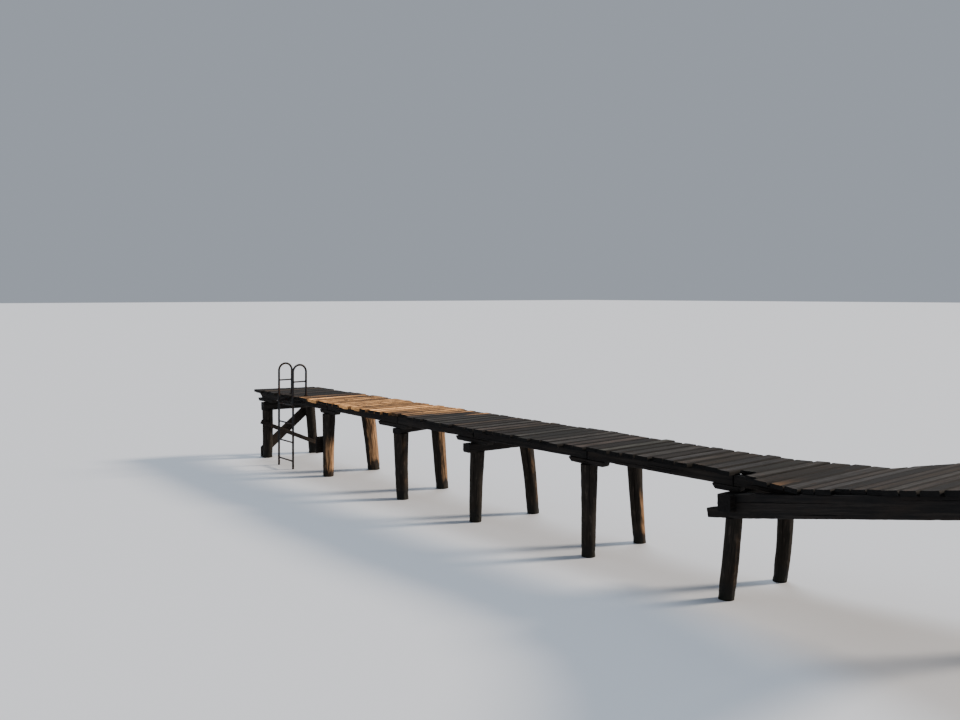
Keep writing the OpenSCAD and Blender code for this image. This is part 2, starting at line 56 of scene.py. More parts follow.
BOARD_T, STRINGER_H, CORBEL_H = 0.046, 0.104, 0.055
CORBEL_W = -BOARD_T - STRINGER_H - CORBEL_H
# Heights: of the cross beams under the deck by bent, of a ramp beam at bent 6 and at the
# shore, and of the cross beam at the shore
CROSS_BEAM_H = [0.140, 0, 0.075, 0.108, 0]
RAMP_BEAM_H, SHORE_END_H, SHORE_BEAM_H = 0.220, 0.162, 0.130
END_CUT = 0.150
NEAR, FAR = -1, 1

# Posts: spacing across, foot along the jetty, girth, flare, lean of the top and bow,
# all as the solids have them, for the near and the far row
POST_ROW, SHORE_ROW, POST_D, POST_FLARE = 0.848, 2.350, 0.160, 0.16
SHIFT = {NEAR: [0, -45, 127, -66, 40, 0, 0], FAR: [58, -94, -115, 50, 5, 0, 0]}
GIRTH = {NEAR: [14, 12, 14, -4, -8, -6, 6], FAR: [7, 45, 26, -3, -14, -17, 2]}
FLARE = {
    NEAR: [-0.10, 0.04, 0.06, 0.01, 0.04, -0.16, -0.11],
    FAR: [-0.10, 0.02, -0.07, 0.0, 0.04, -0.04, -0.11],
}
LEAN = {
    NEAR: [(0, 0), (10, 4), (-45, 6), (41, 0), (17, -3), (90, 0), (0, 0)],
    FAR: [(0, -65), (-20, -110), (37, -108), (-33, -88), (-20, -70), (66, 0), (0, 0)],
}
BOW = {
    NEAR: [(0, 5), (6, -6), (-19, 8), (-15, 6), (5, -5), (10, -6), (6, 5)],
    FAR: [(0, 7), (27, -8), (-8, 7), (-4, 14), (5, -12), (11, 6), (-8, -6)],
}
# How much painted sunlight each post shows, as tan wood through the dark, from 0 to 1,
# whether it does so in the lower half only, and from where on towards the sunny side, from
# -1 to 1
PAINTED_SUN = {NEAR: [0.0, 0.85, 0.05, 0.0, 0.0, 0.08, 0.1], FAR: [0.0, 1.0, 0.5, 0.15, 0.9, 0.0, 0.1]}
PAINTED_SUN_LOW = {NEAR: [0, 1, 0, 0, 0, 0, 0], FAR: [0, 0, 0, 0, 1, 0, 0]}
PAINTED_SUN_FROM = {NEAR: [0, -0.5, 0, 0, 0, 0, 0], FAR: [0, -0.45, 0.05, 0, 0.25, 0, 0]}
# The photo looks this many degrees to the left of +Y, so the posts' sunny side, on its
# right, lies that far from +X
VIEW_TURN = 51.5
SUNNY = math.radians(VIEW_TURN)
MM = 0.001


# ---- noise ----

MIX_I, MIX_J, MIX_SEED, MIX_AGAIN = 374761393, 668265263, 974634777, 1274126177
BITS = 0xFFFFFFFF


def lattice(i, j, seed):
    """A fixed value from -1 to 1 for each pair of whole numbers: their bits are mixed."""
    n = (i.astype(np.int64) * MIX_I + j.astype(np.int64) * MIX_J + seed * MIX_SEED) & BITS
    n = ((n ^ (n >> 13)) * MIX_AGAIN) & BITS
    return ((n ^ (n >> 16)) & 0xFFFF) / 32767.5 - 1


def ripple(x, y, seed=0):
    """Smooth noise from -1 to 1: the four lattice values round a point, blended by 3t2 - 2t3."""
    x, y = np.broadcast_arrays(np.asarray(x, float), np.asarray(y, float))
    i, j = np.floor(x), np.floor(y)
    a, b = x - i, y - j
    a, b = a * a * (3 - 2 * a), b * b * (3 - 2 * b)
    low = lattice(i, j, seed) * (1 - a) + lattice(i + 1, j, seed) * a
    high = lattice(i, j + 1, seed) * (1 - a) + lattice(i + 1, j + 1, seed) * a
    return low * (1 - b) + high * b


def rough(x, y, seed=0, octaves=3):
    """Sum of ripples, each of half the size and twice the pace of the one before, over
    the 1.75 that three of them reach."""
    return sum(ripple(x * 2 ** k, y * 2 ** k, seed + 31 * k) / 2 ** k for k in range(octaves)) / 1.75


# ---- meshes ----

def placed(name, data):
    """A new object in the scene: a mesh, a light or the camera."""
    obj = bpy.data.objects.new(name, data)
    bpy.context.scene.collection.objects.link(obj)
    return obj


class Pile:
    """Gathers closed tubes of vertices, with values that the finishes read, into one mesh."""

    FIELDS = {"grain": 3, "crack": 1, "endwood": 1, "edge": 1, "tone": 1, "hue": 1, "rust": 1,
              "fresh": 1, "rot": 1}
    SHARP = math.radians(38)

    def __init__(self):
        self.points, self.quads, self.tris, self.count = [], [], [], 0
        self.values = {name: [] for name in self.FIELDS}

    def tube(self, rings, **values):
        """Adds m rings of n points, joined ring to ring and closed by a pole at each end.
        Faces are turned so that the volume they hold is positive."""
        m, n = rings.shape[:2]
        index = np.arange(m * n).reshape(m, n)
        after = np.roll(index, -1, axis=1)
        quads = np.stack([index[:-1], after[:-1], after[1:], index[1:]], -1).reshape(-1, 4)
        first, last = np.full(n, m * n), np.full(n, m * n + 1)
        start_fan = np.stack([first, after[0], index[0]], -1)
        end_fan = np.stack([last, index[-1], after[-1]], -1)
        tris = np.concatenate([start_fan, end_fan])
        points = np.concatenate([rings.reshape(-1, 3), rings[[0, -1]].mean(1)])
        every = np.concatenate([quads[:, :3], quads[:, [0, 2, 3]], tris])
        a, b, c = (points[every[:, k]] - points[0] for k in range(3))
        if np.einsum("ij,ij->", a, np.cross(b, c)) < 0:
            quads, tris = quads[:, ::-1], tris[:, ::-1]
        self.points.append(points)
        self.quads.append(quads + self.count)
        self.tris.append(tris + self.count)
        for name, width in self.FIELDS.items():
            shape = (m, n, width) if width > 1 else (m, n)
            value = np.broadcast_to(values.get(name, 0.0), shape).reshape(m, n, width)
            poles = value[[0, -1]].mean(1)
            self.values[name].append(np.concatenate([value.reshape(m * n, width), poles]))
        self.count += len(points)

    def piece(self, name, finish, replaced=()):
        """The object made of everything in the pile, riding on the jetty."""
        points = np.concatenate(self.points)
        quads, tris = np.concatenate(self.quads), np.concatenate(self.tris)
        mesh = bpy.data.meshes.new(name)
        mesh.vertices.add(len(points))
        mesh.vertices.foreach_set("co", points.astype(np.float32).ravel())
        loops = np.concatenate([quads.ravel(), tris.ravel()])
        mesh.loops.add(len(loops))
        mesh.loops.foreach_set("vertex_index", loops.astype(np.int32))
        mesh.polygons.add(len(quads) + len(tris))
        starts = np.concatenate([np.arange(len(quads)) * 4, quads.size + np.arange(len(tris)) * 3])
        mesh.polygons.foreach_set("loop_start", starts.astype(np.int32))
        mesh.update(calc_edges=True)
        mesh.validate()
        for field, width in self.FIELDS.items():
            value = np.concatenate(self.values[field]).astype(np.float32)
            kind, key = ("FLOAT_VECTOR", "vector") if width > 1 else ("FLOAT", "value")
            mesh.attributes.new(field, kind, "POINT").data.foreach_set(key, value.ravel())
        mesh.polygons.foreach_set("use_smooth", np.ones(len(mesh.polygons), bool))
        mesh.set_sharp_from_angle(angle=self.SHARP)
        mesh.materials.append(finish)
        obj = placed(name, mesh)
        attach(obj, "root")
        if replaced:
            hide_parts(*replaced)
        return obj


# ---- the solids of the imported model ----

class Slope:
    """A plane of boards' tops: u runs up along it, v across the jetty and w out of it."""

    def __init__(self, x, z, angle):
        self.x, self.z, self.angle = x, z, angle
        self.origin = np.array([x - MID_X, 0.0, z])
        c, s = math.cos(angle), math.sin(angle)
        self.axes = np.array([[c, 0, s], [0, 1, 0], [-s, 0, c]])

    def local(self, points):
        return (points - self.origin) @ self.axes.T

    def world(self, points):
        return points @ self.axes + self.origin

    def level(self, x, w=0.0):
        """Height, at the length x, of the plane that lies w above the boards' tops."""
        return self.z + (x - self.x) * math.tan(self.angle) + w / math.cos(self.angle)


ELBOW_Z = DECK_Z + ELBOW_X * math.tan(DECK_TILT)
DECK = Slope(0.0, DECK_Z, DECK_TILT)
RAMP = Slope(ELBOW_X, ELBOW_Z, RAMP_SLOPE)


def solids(node):
    """The corners of each loose solid of a node: triangles that share a corner go together."""
    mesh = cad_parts[node].data
    points = np.empty(len(mesh.vertices) * 3)
    mesh.vertices.foreach_get("co", points)
    corners, place = np.unique(points.reshape(-1, 3).round(6), axis=0, return_inverse=True)
    mesh.calc_loop_triangles()
    tris = np.empty(len(mesh.loop_triangles) * 3, np.int32)
    mesh.loop_triangles.foreach_get("vertices", tris)
    tris = place.ravel()[tris].reshape(-1, 3)
    group = np.arange(len(corners))
    while True:
        low = group[tris].min(1)
        joined = group.copy()
        for k in range(3):
            np.minimum.at(joined, tris[:, k], low)
        if (joined == group).all():
            break
        group = joined
    return [corners[group == g] for g in np.unique(group[tris])]


# A section's corners in order, by side and by height. Corners that share a length differ
# by less than SAME_U, and no section is thinner than THINNEST
SIGNS = np.array([(-1, -1), (1, -1), (1, 1), (-1, 1)])
SAME_U, THINNEST = 2e-4, 0.002


def section(u, low_v, high_v, low_w, high_w):
    """The corners of an upright rectangle at the length u."""
    return [[u, (low_v, high_v)[a > 0], (low_w, high_w)[b > 0]] for a, b in SIGNS]


def boxed(corners, slope, along):
    """Two end sections of a solid with eight corners. Each corner of a section is the one
    that reaches furthest to its own side of the middle, along, across and upwards."""
    local = slope.local(corners)
    local = (local - local.mean(0)) / np.ptp(local, axis=0)
    across = 1 - along
    ends = []
    for end in (-1, 1):
        reach = [end * local[:, along] + a * local[:, across] + b * local[:, 2] for a, b in SIGNS]
        ends.append([corners[r.argmax()] for r in reach])
    return np.array(ends)


def squared(corners, slope):
    """Two end sections of a straight beam whose edges are taken off: its own long axis,
    and the box that it fills across it."""
    local = slope.local(corners)
    half = local[:, 1] > local[:, 1].mean()
    axis = local[half].mean(0) - local[~half].mean(0)
    axis /= np.linalg.norm(axis)
    own_axes = np.array([axis, [axis[1], -axis[0], 0.0], [0, 0, 1]])
    q = local @ own_axes.T
    low, high = q.min(0), q.max(0)
    ends = [section(end, low[1], high[1], low[2], high[2]) for end in (low[0], high[0])]
    return slope.world(np.array(ends) @ own_axes)


def profiled(corners, slope):
    """Sections of a block whose outline is drawn on its side: at each length where it has
    a corner, from the lowest corner there up to the block's top."""
    q = slope.local(corners)
    low_v, high_v, top = q[:, 1].min(), q[:, 1].max(), q[:, 2].max()
    sections = []
    for u in np.unique(q[:, 0].round(4)):
        here = q[abs(q[:, 0] - u) < SAME_U]
        base = min(here[:, 2].min(), top - THINNEST)
        sections.append(section(u, low_v, high_v, base, top))
    return slope.world(np.array(sections))


# ---- sawn timber ----

# The lengths of the rings next to an end, the way inwards from each face and the number of
# the top one, and the four points of a crack: where they lie across it, and how deep
END_STEPS = np.array([0, 0.004, 0.010])
INWARD, TOP = ((0, 1), (-1, 0), (0, -1), (1, 0)), 2
TIMBER_LIPS, LOG_LIPS = np.array([-1, -0.25, 0.25, 1]), np.array([-1, -0.2, 0.2, 1])
LIP_DEPTHS = np.array([0, 1, 1, 0])


def loft(sections, s):
    """The four corners at the lengths s, on straight lines between the sections."""
    middle = sections.mean(1)
    along = np.concatenate([[0], np.cumsum(np.linalg.norm(np.diff(middle, axis=0), axis=1))])
    flat = sections.reshape(len(sections), 12)
    corners = np.stack([np.interp(s, along, flat[:, c]) for c in range(12)], -1)
    return corners.reshape(np.shape(s) + (4, 3))


def length_of(sections):
    return np.linalg.norm(np.diff(sections.mean(1), axis=0), axis=1).sum()


def drawn_in(rings, shares):
    """The rings with three more at each end, which shrink to these shares of the last."""
    inner = np.array(shares)[:, None]
    return np.concatenate([rings[:1] * inner, rings, rings[-1:] * inner[::-1]])


def held_on(values):
    """The rings' values, kept on over the three more at each end."""
    return np.pad(values, ((3, 3), (0, 0)), mode="edge")


def crack_path(rng, s, length, where):
    """How wide open a drying crack is along a timber, from 0 to 1, and how it wanders. It
    starts at an end or in the middle, and closes to nothing at its other end."""
    reach = length * rng.uniform(0.12, 0.5)
    start = {"end": -reach * 0.3, "tip": length - reach * 0.7}.get(where, rng.uniform(0, length - reach))
    t = (s - start) / reach
    open_ = np.clip(4 * t * (1 - t), 0, 1) ** 0.7
    open_ *= 0.75 + 0.25 * ripple(s / 0.05, 0, int(rng.integers(1e6)))
    return open_, ripple(s / 0.22, 0, int(rng.integers(1e6)))


def sunk_by(settle, share, across):
    """How far a board's top lies below its solid's: a worn depth that leans to one side and
    to one end, and a hollow that is deepest in the middle."""
    thin, hollow, tilt, slope = settle
    worn = thin * (1 + tilt * across + slope * (2 * share - 1))
    return np.maximum(worn, 0) + hollow * (1 - across ** 2)


def timber(pile, sections, seed, radius, step, spans, cracks, jag, wear, crown=None, turns=3,
           crack_w=0.004, crack_d=0.012, chips=1.0, settle=(0.0, 0.0, 0.0, 0.0), grime_and_shade=False,
           splinter=(0.0, 0.0), nails=(), tone=0.0, hue=0.0, fresh=0.0, rot=0.0):
    """A weathered length of sawn wood.

    Its cross-section is a rectangle with rounded corners, carried from section to section.
    The corner's radius, crown for the two upper ones, rises and falls along the length,
    with bites out of it. On each face (under, right, top, left) lie spans points, and
    between them clusters of four points that sink in as a crack. Near the ends the rings
    lean inwards by a jagged amount that dies away along the wood, and the end faces are
    rings drawn to a pole. Wood whose sides take grime and shade counts as edge on every
    face but the top; the board finish paints that near black, as grime and as painted
    shade in the gaps between boards."""
    rng = np.random.default_rng(seed)
    length = length_of(sections)
    inner = np.linspace(0.02, length - 0.02, max(6, int(length / step)))
    s = np.concatenate([END_STEPS, inner, length - END_STEPS[::-1]])
    corners = loft(sections, s)
    w = np.linalg.norm(corners[:, 1] - corners[:, 0], axis=1)[:, None] / 2
    h = np.linalg.norm(corners[:, 3] - corners[:, 0], axis=1)[:, None] / 2
    col = s[:, None]

    # rounded corners, in the order of the section's corners
    pick = np.arange(4)[None]
    bites = np.clip(ripple(col / 0.06, pick * 7.3, seed + 5) - 0.35, 0, 1) * 0.02 * chips
    radii = np.array([radius, radius, crown or radius, crown or radius])
    r = radii * (1.0 + 0.45 * rough(col / 0.09, pick * 3.1, seed)) + bites
    r = np.minimum(r, 0.85 * np.minimum(w, h))[:, :, None]
    turn = np.radians([180, 270, 0, 90])[:, None] + np.linspace(0, math.pi / 2, turns)
    aside, upward = SIGNS.T[:, None, :, None]
    arc_x = aside * (w[:, :, None] - r) + r * np.cos(turn)
    arc_z = upward * (h[:, :, None] - r) + r * np.sin(turn)

    # faces between them, with their cracks
    margin = 0.018 if grime_and_shade else 0.012
    xs, zs, sunk, edge = [], [], [], []
    for face in range(4):
        x0, z0 = arc_x[:, face, -1], arc_z[:, face, -1]
        x1, z1 = arc_x[:, (face + 1) % 4, 0], arc_z[:, (face + 1) % 4, 0]
        span = np.hypot(x1 - x0, z1 - z0)
        marks = np.linspace(0, 1, spans[face] + 2)[1:-1]
        gap = marks[1] - marks[0]
        cols, depths = [np.repeat(marks[None], len(s), 0)], [np.zeros((len(s), spans[face]))]
        for place in rng.permutation(spans[face] - 1)[:cracks[face]]:
            open_, drift = crack_path(rng, s, length, rng.choice(["end", "tip", "mid"]))
            centre = marks[place] + gap * (0.5 + 0.14 * drift)
            half = crack_w * rng.uniform(0.5, 1.1) / np.maximum(span, 0.01) * (0.15 + open_)
            half = np.minimum(half, 0.3 * gap)
            cols.append(centre[:, None] + half[:, None] * TIMBER_LIPS)
            deep = crack_d * rng.uniform(0.6, 1.2) * open_
            depths.append(deep[:, None] * LIP_DEPTHS)
        t, d = np.concatenate(cols, 1), np.concatenate(depths, 1)
        order = t[0].argsort()
        t, d = t[:, order], d[:, order]
        xs += [arc_x[:, face], x0[:, None] * (1 - t) + x1[:, None] * t + INWARD[face][0] * d]
        zs += [arc_z[:, face], z0[:, None] * (1 - t) + z1[:, None] * t + INWARD[face][1] * d]
        sunk += [np.zeros((len(s), turns)), np.clip(d / 0.004, 0, 1)]
        near_edge = np.clip(1 - np.minimum(t, 1 - t) * span[:, None] / margin, 0, 1)
        # The sides count as edge here, for grime and for painted shade in the gaps between boards
        all_edge = grime_and_shade and face != TOP
        edge += [np.ones((len(s), turns)), np.ones_like(t) if all_edge else near_edge]
    x, z, sunk, edge = (np.concatenate(part, 1) for part in (xs, zs, sunk, edge))

    # hollows and ridges of the worn surface, always inwards
    x = x * (1 - wear * (1 + rough(col / 0.11, z / 0.03, seed + 1)) / 2 / w)
    z = z * (1 - wear * (1 + rough(col / 0.11, x / 0.024, seed + 2)) / 2 / h)
    z = np.where(z > 0, z * (1 - sunk_by(settle, col / length, x / w) / h), z)

    # jagged ends: a skew and short teeth that die away fast, and splinters that reach on
    lengths = col
    for side, way, far in ((0, 1, col), (1, -1, length - col)):
        skew = jag * 0.8 * rng.uniform(-1, 1) * x / w
        tooth = jag * (0.5 + 0.5 * rough(x / 0.022, z / 0.02, seed + 3 + side))
        long_tooth = splinter[side] * (0.5 + 0.5 * rough(x / 0.02, z / 0.03, seed + 13 + side, 2))
        short = (np.abs(skew) + tooth) * np.exp(-far / 0.03)
        lengths = lengths + way * (short + long_tooth * np.exp(-far / 0.3))
    x, z = (drawn_in(v, [0.35, 0.72, 0.94]) for v in (x, z))
    lengths, sunk, edge, w, h = (held_on(v) for v in (lengths, sunk, edge, w, h))
    pit = 0.0015 * rough(x / 0.012, z / 0.012, seed + 4)
    lengths[:3] += pit[:3]
    lengths[-3:] -= pit[-3:]

    cs = loft(sections, lengths)
    a, b = ((x / w + 1) / 2)[..., None], ((z / h + 1) / 2)[..., None]
    under = cs[:, :, 0] * (1 - a) + cs[:, :, 1] * a
    above = cs[:, :, 3] * (1 - a) + cs[:, :, 2] * a
    rust = np.zeros_like(x)
    for at, off in nails:
        rust += np.exp(-((lengths - at) / 0.03) ** 2 - ((x - off) / 0.007) ** 2) * (z > 0)
    end_near = np.exp(-np.minimum(lengths, length - lengths).clip(0) / 0.012)
    end_near[:3] = end_near[-3:] = 1
    grain = np.stack([lengths + seed * 0.37, x + seed * 0.113, z + seed * 0.071], -1)
    # The far end of each board carries a share of painted shade, fading inwards
    pile.tube(under * (1 - b) + above * b, grain=grain, crack=sunk * 0.8, endwood=end_near,
              edge=edge, tone=tone, hue=hue, rust=rust,
              fresh=fresh * np.exp(-(lengths / 0.14).clip(0)),
              rot=rot * np.exp(-((length - lengths) / 0.09).clip(0)))


def one_timber(name, finish, node, sections, seed, **plan):
    """A piece that is one timber, in place of one node."""
    pile = Pile()
    timber(pile, sections, seed, **plan)
    return pile.piece(name, finish, (node,))


# ---- round posts ----

LOG_SIDES, LOG_CRACKS, LOG_KNOTS, LOG_STEP = 56, 6, 3, 0.013


def girth_of(k, side):
    return POST_D + GIRTH[side][k] * MM


def flare_of(k, side):
    return POST_FLARE + FLARE[side][k]


def log_radius(k, side, t, a):
    """A post's radius at the share t of its height and the angle a: it grows with t
    squared, and it is a little out of round."""
    lobes = 0.02 * np.cos(2 * a + math.radians(70 * k))
    lobes = lobes + 0.012 * np.cos(3 * a + math.radians(50 * side + 35 * k))
    return girth_of(k, side) / 2 * (1 + flare_of(k, side) * t ** 2) * (1 + lobes)


def log_axis(k, side, t):
    """Middle of a post: foot + lean t + bow sin(pi t), along and across the jetty."""
    foot = (BENTS[k] + SHIFT[side][k] * MM, side * (SHORE_ROW if k == 6 else POST_ROW) / 2)
    lean, bow = LEAN[side][k], BOW[side][k]
    return [foot[n] + lean[n] * MM * t + bow[n] * MM * np.sin(math.pi * t) for n in (0, 1)]


def seat_level(k, x):
    """Height of the seat on a post of bent k, at the length x."""
    if k == 6:
        return RAMP.level(x, -BOARD_T - SHORE_END_H - SHORE_BEAM_H)
    if k == 5:
        return RAMP.level(x, -BOARD_T - RAMP_BEAM_H)
    return DECK.level(x, CORBEL_W - CROSS_BEAM_H[k])


def log(pile, k, side, seed):
    """A round post, whose skin follows the solid's. Added to its radius are slow swellings,
    knots as round bumps with a dent, and long drying cracks that sink in; at the foot the
    water has worn it thinner."""
    rng = np.random.default_rng(seed)
    girth = girth_of(k, side)
    height = seat_level(k, log_axis(k, side, 0)[0])
    m = int(height / LOG_STEP)
    t = np.linspace(0, 1, m)[:, None]
    z = t * height
    base = np.linspace(0, 2 * math.pi, LOG_SIDES, endpoint=False)
    gap = base[1]
    cols, depths = [np.repeat(base[None], m, 0)], [np.zeros((m, LOG_SIDES))]
    for place in rng.permutation(LOG_SIDES)[:LOG_CRACKS]:
        reach = rng.uniform(0.25, 0.8)
        start = rng.choice([1.1 - reach, rng.uniform(-0.1, 0.6)])
        share = (t - start) / reach
        open_ = np.clip(4 * share * (1 - share), 0, 1) ** 0.6
        centre = base[place] + gap * (0.5 + 0.12 * ripple(z / 0.12, 0, seed + place))
        half = np.minimum(rng.uniform(0.0015, 0.004) / (girth / 2) * (0.1 + open_), 0.32 * gap)
        cols.append(centre + half * LOG_LIPS)
        depths.append(rng.uniform(0.008, 0.02) * open_ * LIP_DEPTHS)
    a, d = np.concatenate(cols, 1), np.concatenate(depths, 1)
    order = a[0].argsort()
    a, d = a[:, order], d[:, order]
    r = log_radius(k, side, t, a)
    arc = a * girth / 2
    wrap = np.minimum(a, 2 * math.pi - a) * girth / 2
    r = r + 0.0025 * rough(z / 0.16, wrap / 0.05, seed + 1)
    r = r - 0.0012 * (1 + rough(z / 0.05, wrap / 0.012, seed + 2, 2))
    knots = np.zeros_like(r)
    for _ in range(LOG_KNOTS):
        kz, ka = rng.uniform(0.2, 0.9) * height, rng.uniform(0.5, 5.8)
        away = np.hypot((z - kz) / 0.028, (arc - ka * girth / 2) / 0.022)
        knots = knots + np.exp(-away ** 2) - 0.9 * np.exp(-(away / 0.45) ** 2)
    r = r + 0.004 * knots - d
    r = r - 0.004 * np.exp(-((z - 0.05) / 0.06) ** 2) * (1 + ripple(z / 0.04, wrap / 0.03, seed + 8))
    # the cut end and the foot: rings drawn to a pole
    r = drawn_in(r, [0.3, 0.65, 0.93])
    t, a, d, knots = (held_on(v) for v in (t, a, d, knots))
    middle = log_axis(k, side, t)
    x, y = middle[0] + r * np.cos(a), middle[1] + r * np.sin(a)
    up = t * seat_level(k, x)
    rings = np.stack([x - MID_X, y, up], -1)
    grain = np.stack([up + seed * 0.61, r * np.cos(a) + seed * 0.23, r * np.sin(a) + seed * 0.17], -1)
    end_near = np.exp(-(1 - t) * height / 0.01) + np.zeros_like(r)
    end_near[:3] = 1
    # Painted sunlight on the post: a share that rises towards the sunny side from a ragged edge, handed
    # on as its tone
    ragged = 0.25 * rough(up / 0.10, np.sin(a) * 5, seed + 9)
    sunny = np.clip((np.cos(a - SUNNY) - PAINTED_SUN_FROM[side][k] + ragged) / 0.35, 0, 1)
    pile.tube(rings, grain=grain, crack=np.clip(d / 0.006, 0, 1), endwood=end_near,
              edge=np.clip(knots, -1, 1), tone=PAINTED_SUN[side][k] * sunny, hue=PAINTED_SUN_LOW[side][k])


# ---- nails, bolts and welds ----

WELD_STEPS, WELD_SIDES = 20, 6


def dome(pile, centre, axes, radius, height, sides=8, base=0.002):
    """A low round head: rings of the radius r cos(e) at the height h sin(e) over a short
    foot that sinks into what carries it. axes holds the head's own x, y and outward."""
    e = np.radians([0, 35, 65])[:, None]
    around = np.linspace(0, 2 * math.pi, sides, endpoint=False)[None]
    r = np.concatenate([[[radius]], radius * np.cos(e)])
    z = np.concatenate([[[-base]], height * np.sin(e)])
    local = np.stack([r * np.cos(around), r * np.sin(around), z + 0 * around], -1)
    pile.tube(centre + local @ axes, grain=local)


def weld(pile, centre, axis, ring_r, bead_r, seed):
    """A weld bead: a lumpy ring about an axis, its section a circle whose radius varies by
    noise along it. The tube is closed on itself by its first ring."""
    axis = np.asarray(axis, float) / np.linalg.norm(axis)
    side = np.cross(axis, [0.0, 0.1, 1.0] if abs(axis[2]) < 0.9 else [1.0, 0.0, 0.0])
    side /= np.linalg.norm(side)
    other = np.cross(axis, side)
    a = np.linspace(0, 2 * math.pi, WELD_STEPS + 1)[:, None]
    b = np.linspace(0, 2 * math.pi, WELD_SIDES, endpoint=False)[None]
    lump = bead_r * (1 + 0.3 * ripple(a * 3.2 * (1 - np.isclose(a, 2 * math.pi)), 0, seed))
    reach = ring_r + lump * np.cos(b)
    out = np.cos(a)[..., None] * side + np.sin(a)[..., None] * other
    rings = centre + reach[..., None] * out + (lump * np.sin(b))[..., None] * axis
    pile.tube(rings, grain=rings)


# ---- finishes ----

class Wire:
    """A socket that arithmetic can be written with: each step adds a Math node."""

    def __init__(self, finish, socket):
        self.finish, self.socket = finish, socket

    def _step(self, operation, first, second, clamp=False):
        settings = {"operation": operation, "use_clamp": clamp}
        return self.finish.node("ShaderNodeMath", settings, {0: first, 1: second})

    def __add__(self, other):
        return self._step("ADD", self, other)

    def __sub__(self, other):
        return self._step("SUBTRACT", self, other)

    def __rsub__(self, other):
        return self._step("SUBTRACT", other, self)

    def __mul__(self, other):
        return self._step("MULTIPLY", self, other)

    def __pow__(self, other):
        return self._step("POWER", self, other)

    __radd__ = __add__

    def held(self):
        """Kept between 0 and 1."""
        return self._step("ADD", self, 0.0, clamp=True)

    def ramp(self, low, high):
        """0 at low and below, 1 at high and above, and straight between."""
        sockets = {"Value": self, "From Min": low, "From Max": high}
        return self.finish.node("ShaderNodeMapRange", {"clamp": True}, sockets)


class Finish:
    """A material as it is built. node() adds any node: its settings first, then the
    values or wires of its sockets by name or number, and gives the output asked for."""

    SHEEN = 0.2

    def __init__(self, name):
        self.material = bpy.data.materials.new(name)
        self.material.use_nodes = True
        self.tree = self.material.node_tree
        self.tree.nodes.clear()

    def node(self, kind, settings=None, sockets=None, out=0):
        new = self.tree.nodes.new(kind)
        for key, value in (settings or {}).items():
            setattr(new, key, value)
        for key, value in (sockets or {}).items():
            if isinstance(value, Wire):
                self.tree.links.new(value.socket, new.inputs[key])
            else:
                new.inputs[key].default_value = value
        return Wire(self, new.outputs[out]) if len(new.outputs) else new

    def attribute(self, name, out="Fac"):
        return self.node("ShaderNodeAttribute", {"attribute_name": name}, out=out)

    def place(self):
        """Object coordinates, in metres from the middle of the jetty at the water."""
        return self.node("ShaderNodeTexCoord", out="Object")

    def coordinate(self, axis):
        return self.node("ShaderNodeSeparateXYZ", {}, {0: self.place()}, out=axis)

    def noise(self, vector, scale, detail, roughness, distortion=0.0):
        sockets = {"Vector": vector, "Scale": scale, "Detail": detail, "Roughness": roughness,
                   "Distortion": distortion}
        return self.node("ShaderNodeTexNoise", {}, sockets)

    def grained(self, along, across, detail, roughness, distortion=0.0):
        """Noise in the wood, at one scale along the grain and another across it."""
        sockets = {0: self.attribute("grain", "Vector"), 1: (along, across, across)}
        place = self.node("ShaderNodeVectorMath", {"operation": "MULTIPLY"}, sockets)
        return self.noise(place, 1.0, detail, roughness, distortion)

    def mix(self, share, first, second):
        """first where share is 0, second where it is 1."""
        sockets = {0: share, 6: first, 7: second}
        return self.node("ShaderNodeMix", {"data_type": "RGBA"}, sockets, out=2)

    def coat(self, share, tint):
        """Lays a share of a tint over the colour so far."""
        self.colour = self.mix(share, self.colour, tint)

    def shaded(self, colour, share):
        """A colour made darker, or paler where share is above 1."""
        return self.node("ShaderNodeVectorMath", {"operation": "SCALE"}, {0: colour, "Scale": share})

    def surface(self, sockets):
        shader = self.node("ShaderNodeBsdfPrincipled", {}, sockets)
        self.node("ShaderNodeOutputMaterial", {}, {"Surface": shader})
        return self.material

    def done(self, roughness, height, depth):
        bumps = {"Strength": 1.0, "Distance": depth, "Height": height}
        bump = self.node("ShaderNodeBump", {}, bumps)
        return self.surface({"Base Color": self.colour, "Roughness": roughness, "Normal": bump,
                             "Specular IOR Level": self.SHEEN})


def rgb(r, g, b):
    return (r, g, b, 1.0)


BLACK = rgb(0.006, 0.005, 0.004)
# Where along the jetty, from its middle, the painted sunlight on the boards begins and stops
SUNLIT_PATCH_FROM, SUNLIT_PATCH_TO = (-4.8, -3.7), (-2.2, -1.3)


def sawn_finish(name, dark, middle, pale, warm, darkening):
    """Old sawn wood in the shade under the deck. Along the grain it is drawn out some forty
    times: fine fibres, wider bands of early and late wood, and slow clouds of brown. Cracks
    and the gaps between fibres are nearly black, and end wood is dark."""
    f = Finish(name)
    tone = f.attribute("tone")
    fibre = f.grained(5, 330, 6, 0.62, 0.4)
    bands = f.grained(1.1, 42, 4, 0.5, 0.8)
    cloud = f.grained(2.2, 9, 4, 0.6)
    stain = f.noise(f.place(), 1.7, 5, 0.6)
    split = 1 - f.grained(2.6, 150, 3, 0.5, 0.5).ramp(0.31, 0.36)
    f.colour = f.mix((fibre * 1.3 + bands * 0.7 - 0.5).ramp(0.2, 0.85), dark, middle)
    paler = (bands - 0.5) * 1.6 + (fibre - 0.5) * 1.2 + tone * 0.3 + 0.15
    f.coat(paler.ramp(0.1, 0.6), pale)
    f.coat((cloud.ramp(0.42, 0.68) + tone * 0.45).held() * 0.5, warm)
    f.coat(stain.ramp(0.45, 0.7) * darkening, dark)
    f.coat(f.attribute("edge") * fibre.ramp(0.35, 0.7) * 0.3, pale)
    f.coat(f.attribute("endwood") * 0.7, dark)
    f.coat((f.attribute("crack").ramp(0.1, 0.9) + split * 0.75).held(), BLACK)
    height = fibre * 0.45 + bands * 0.4 - split * 0.9 + cloud * 0.25
    return f.done((0.72 + fibre * 0.2).held(), height, 0.0022)


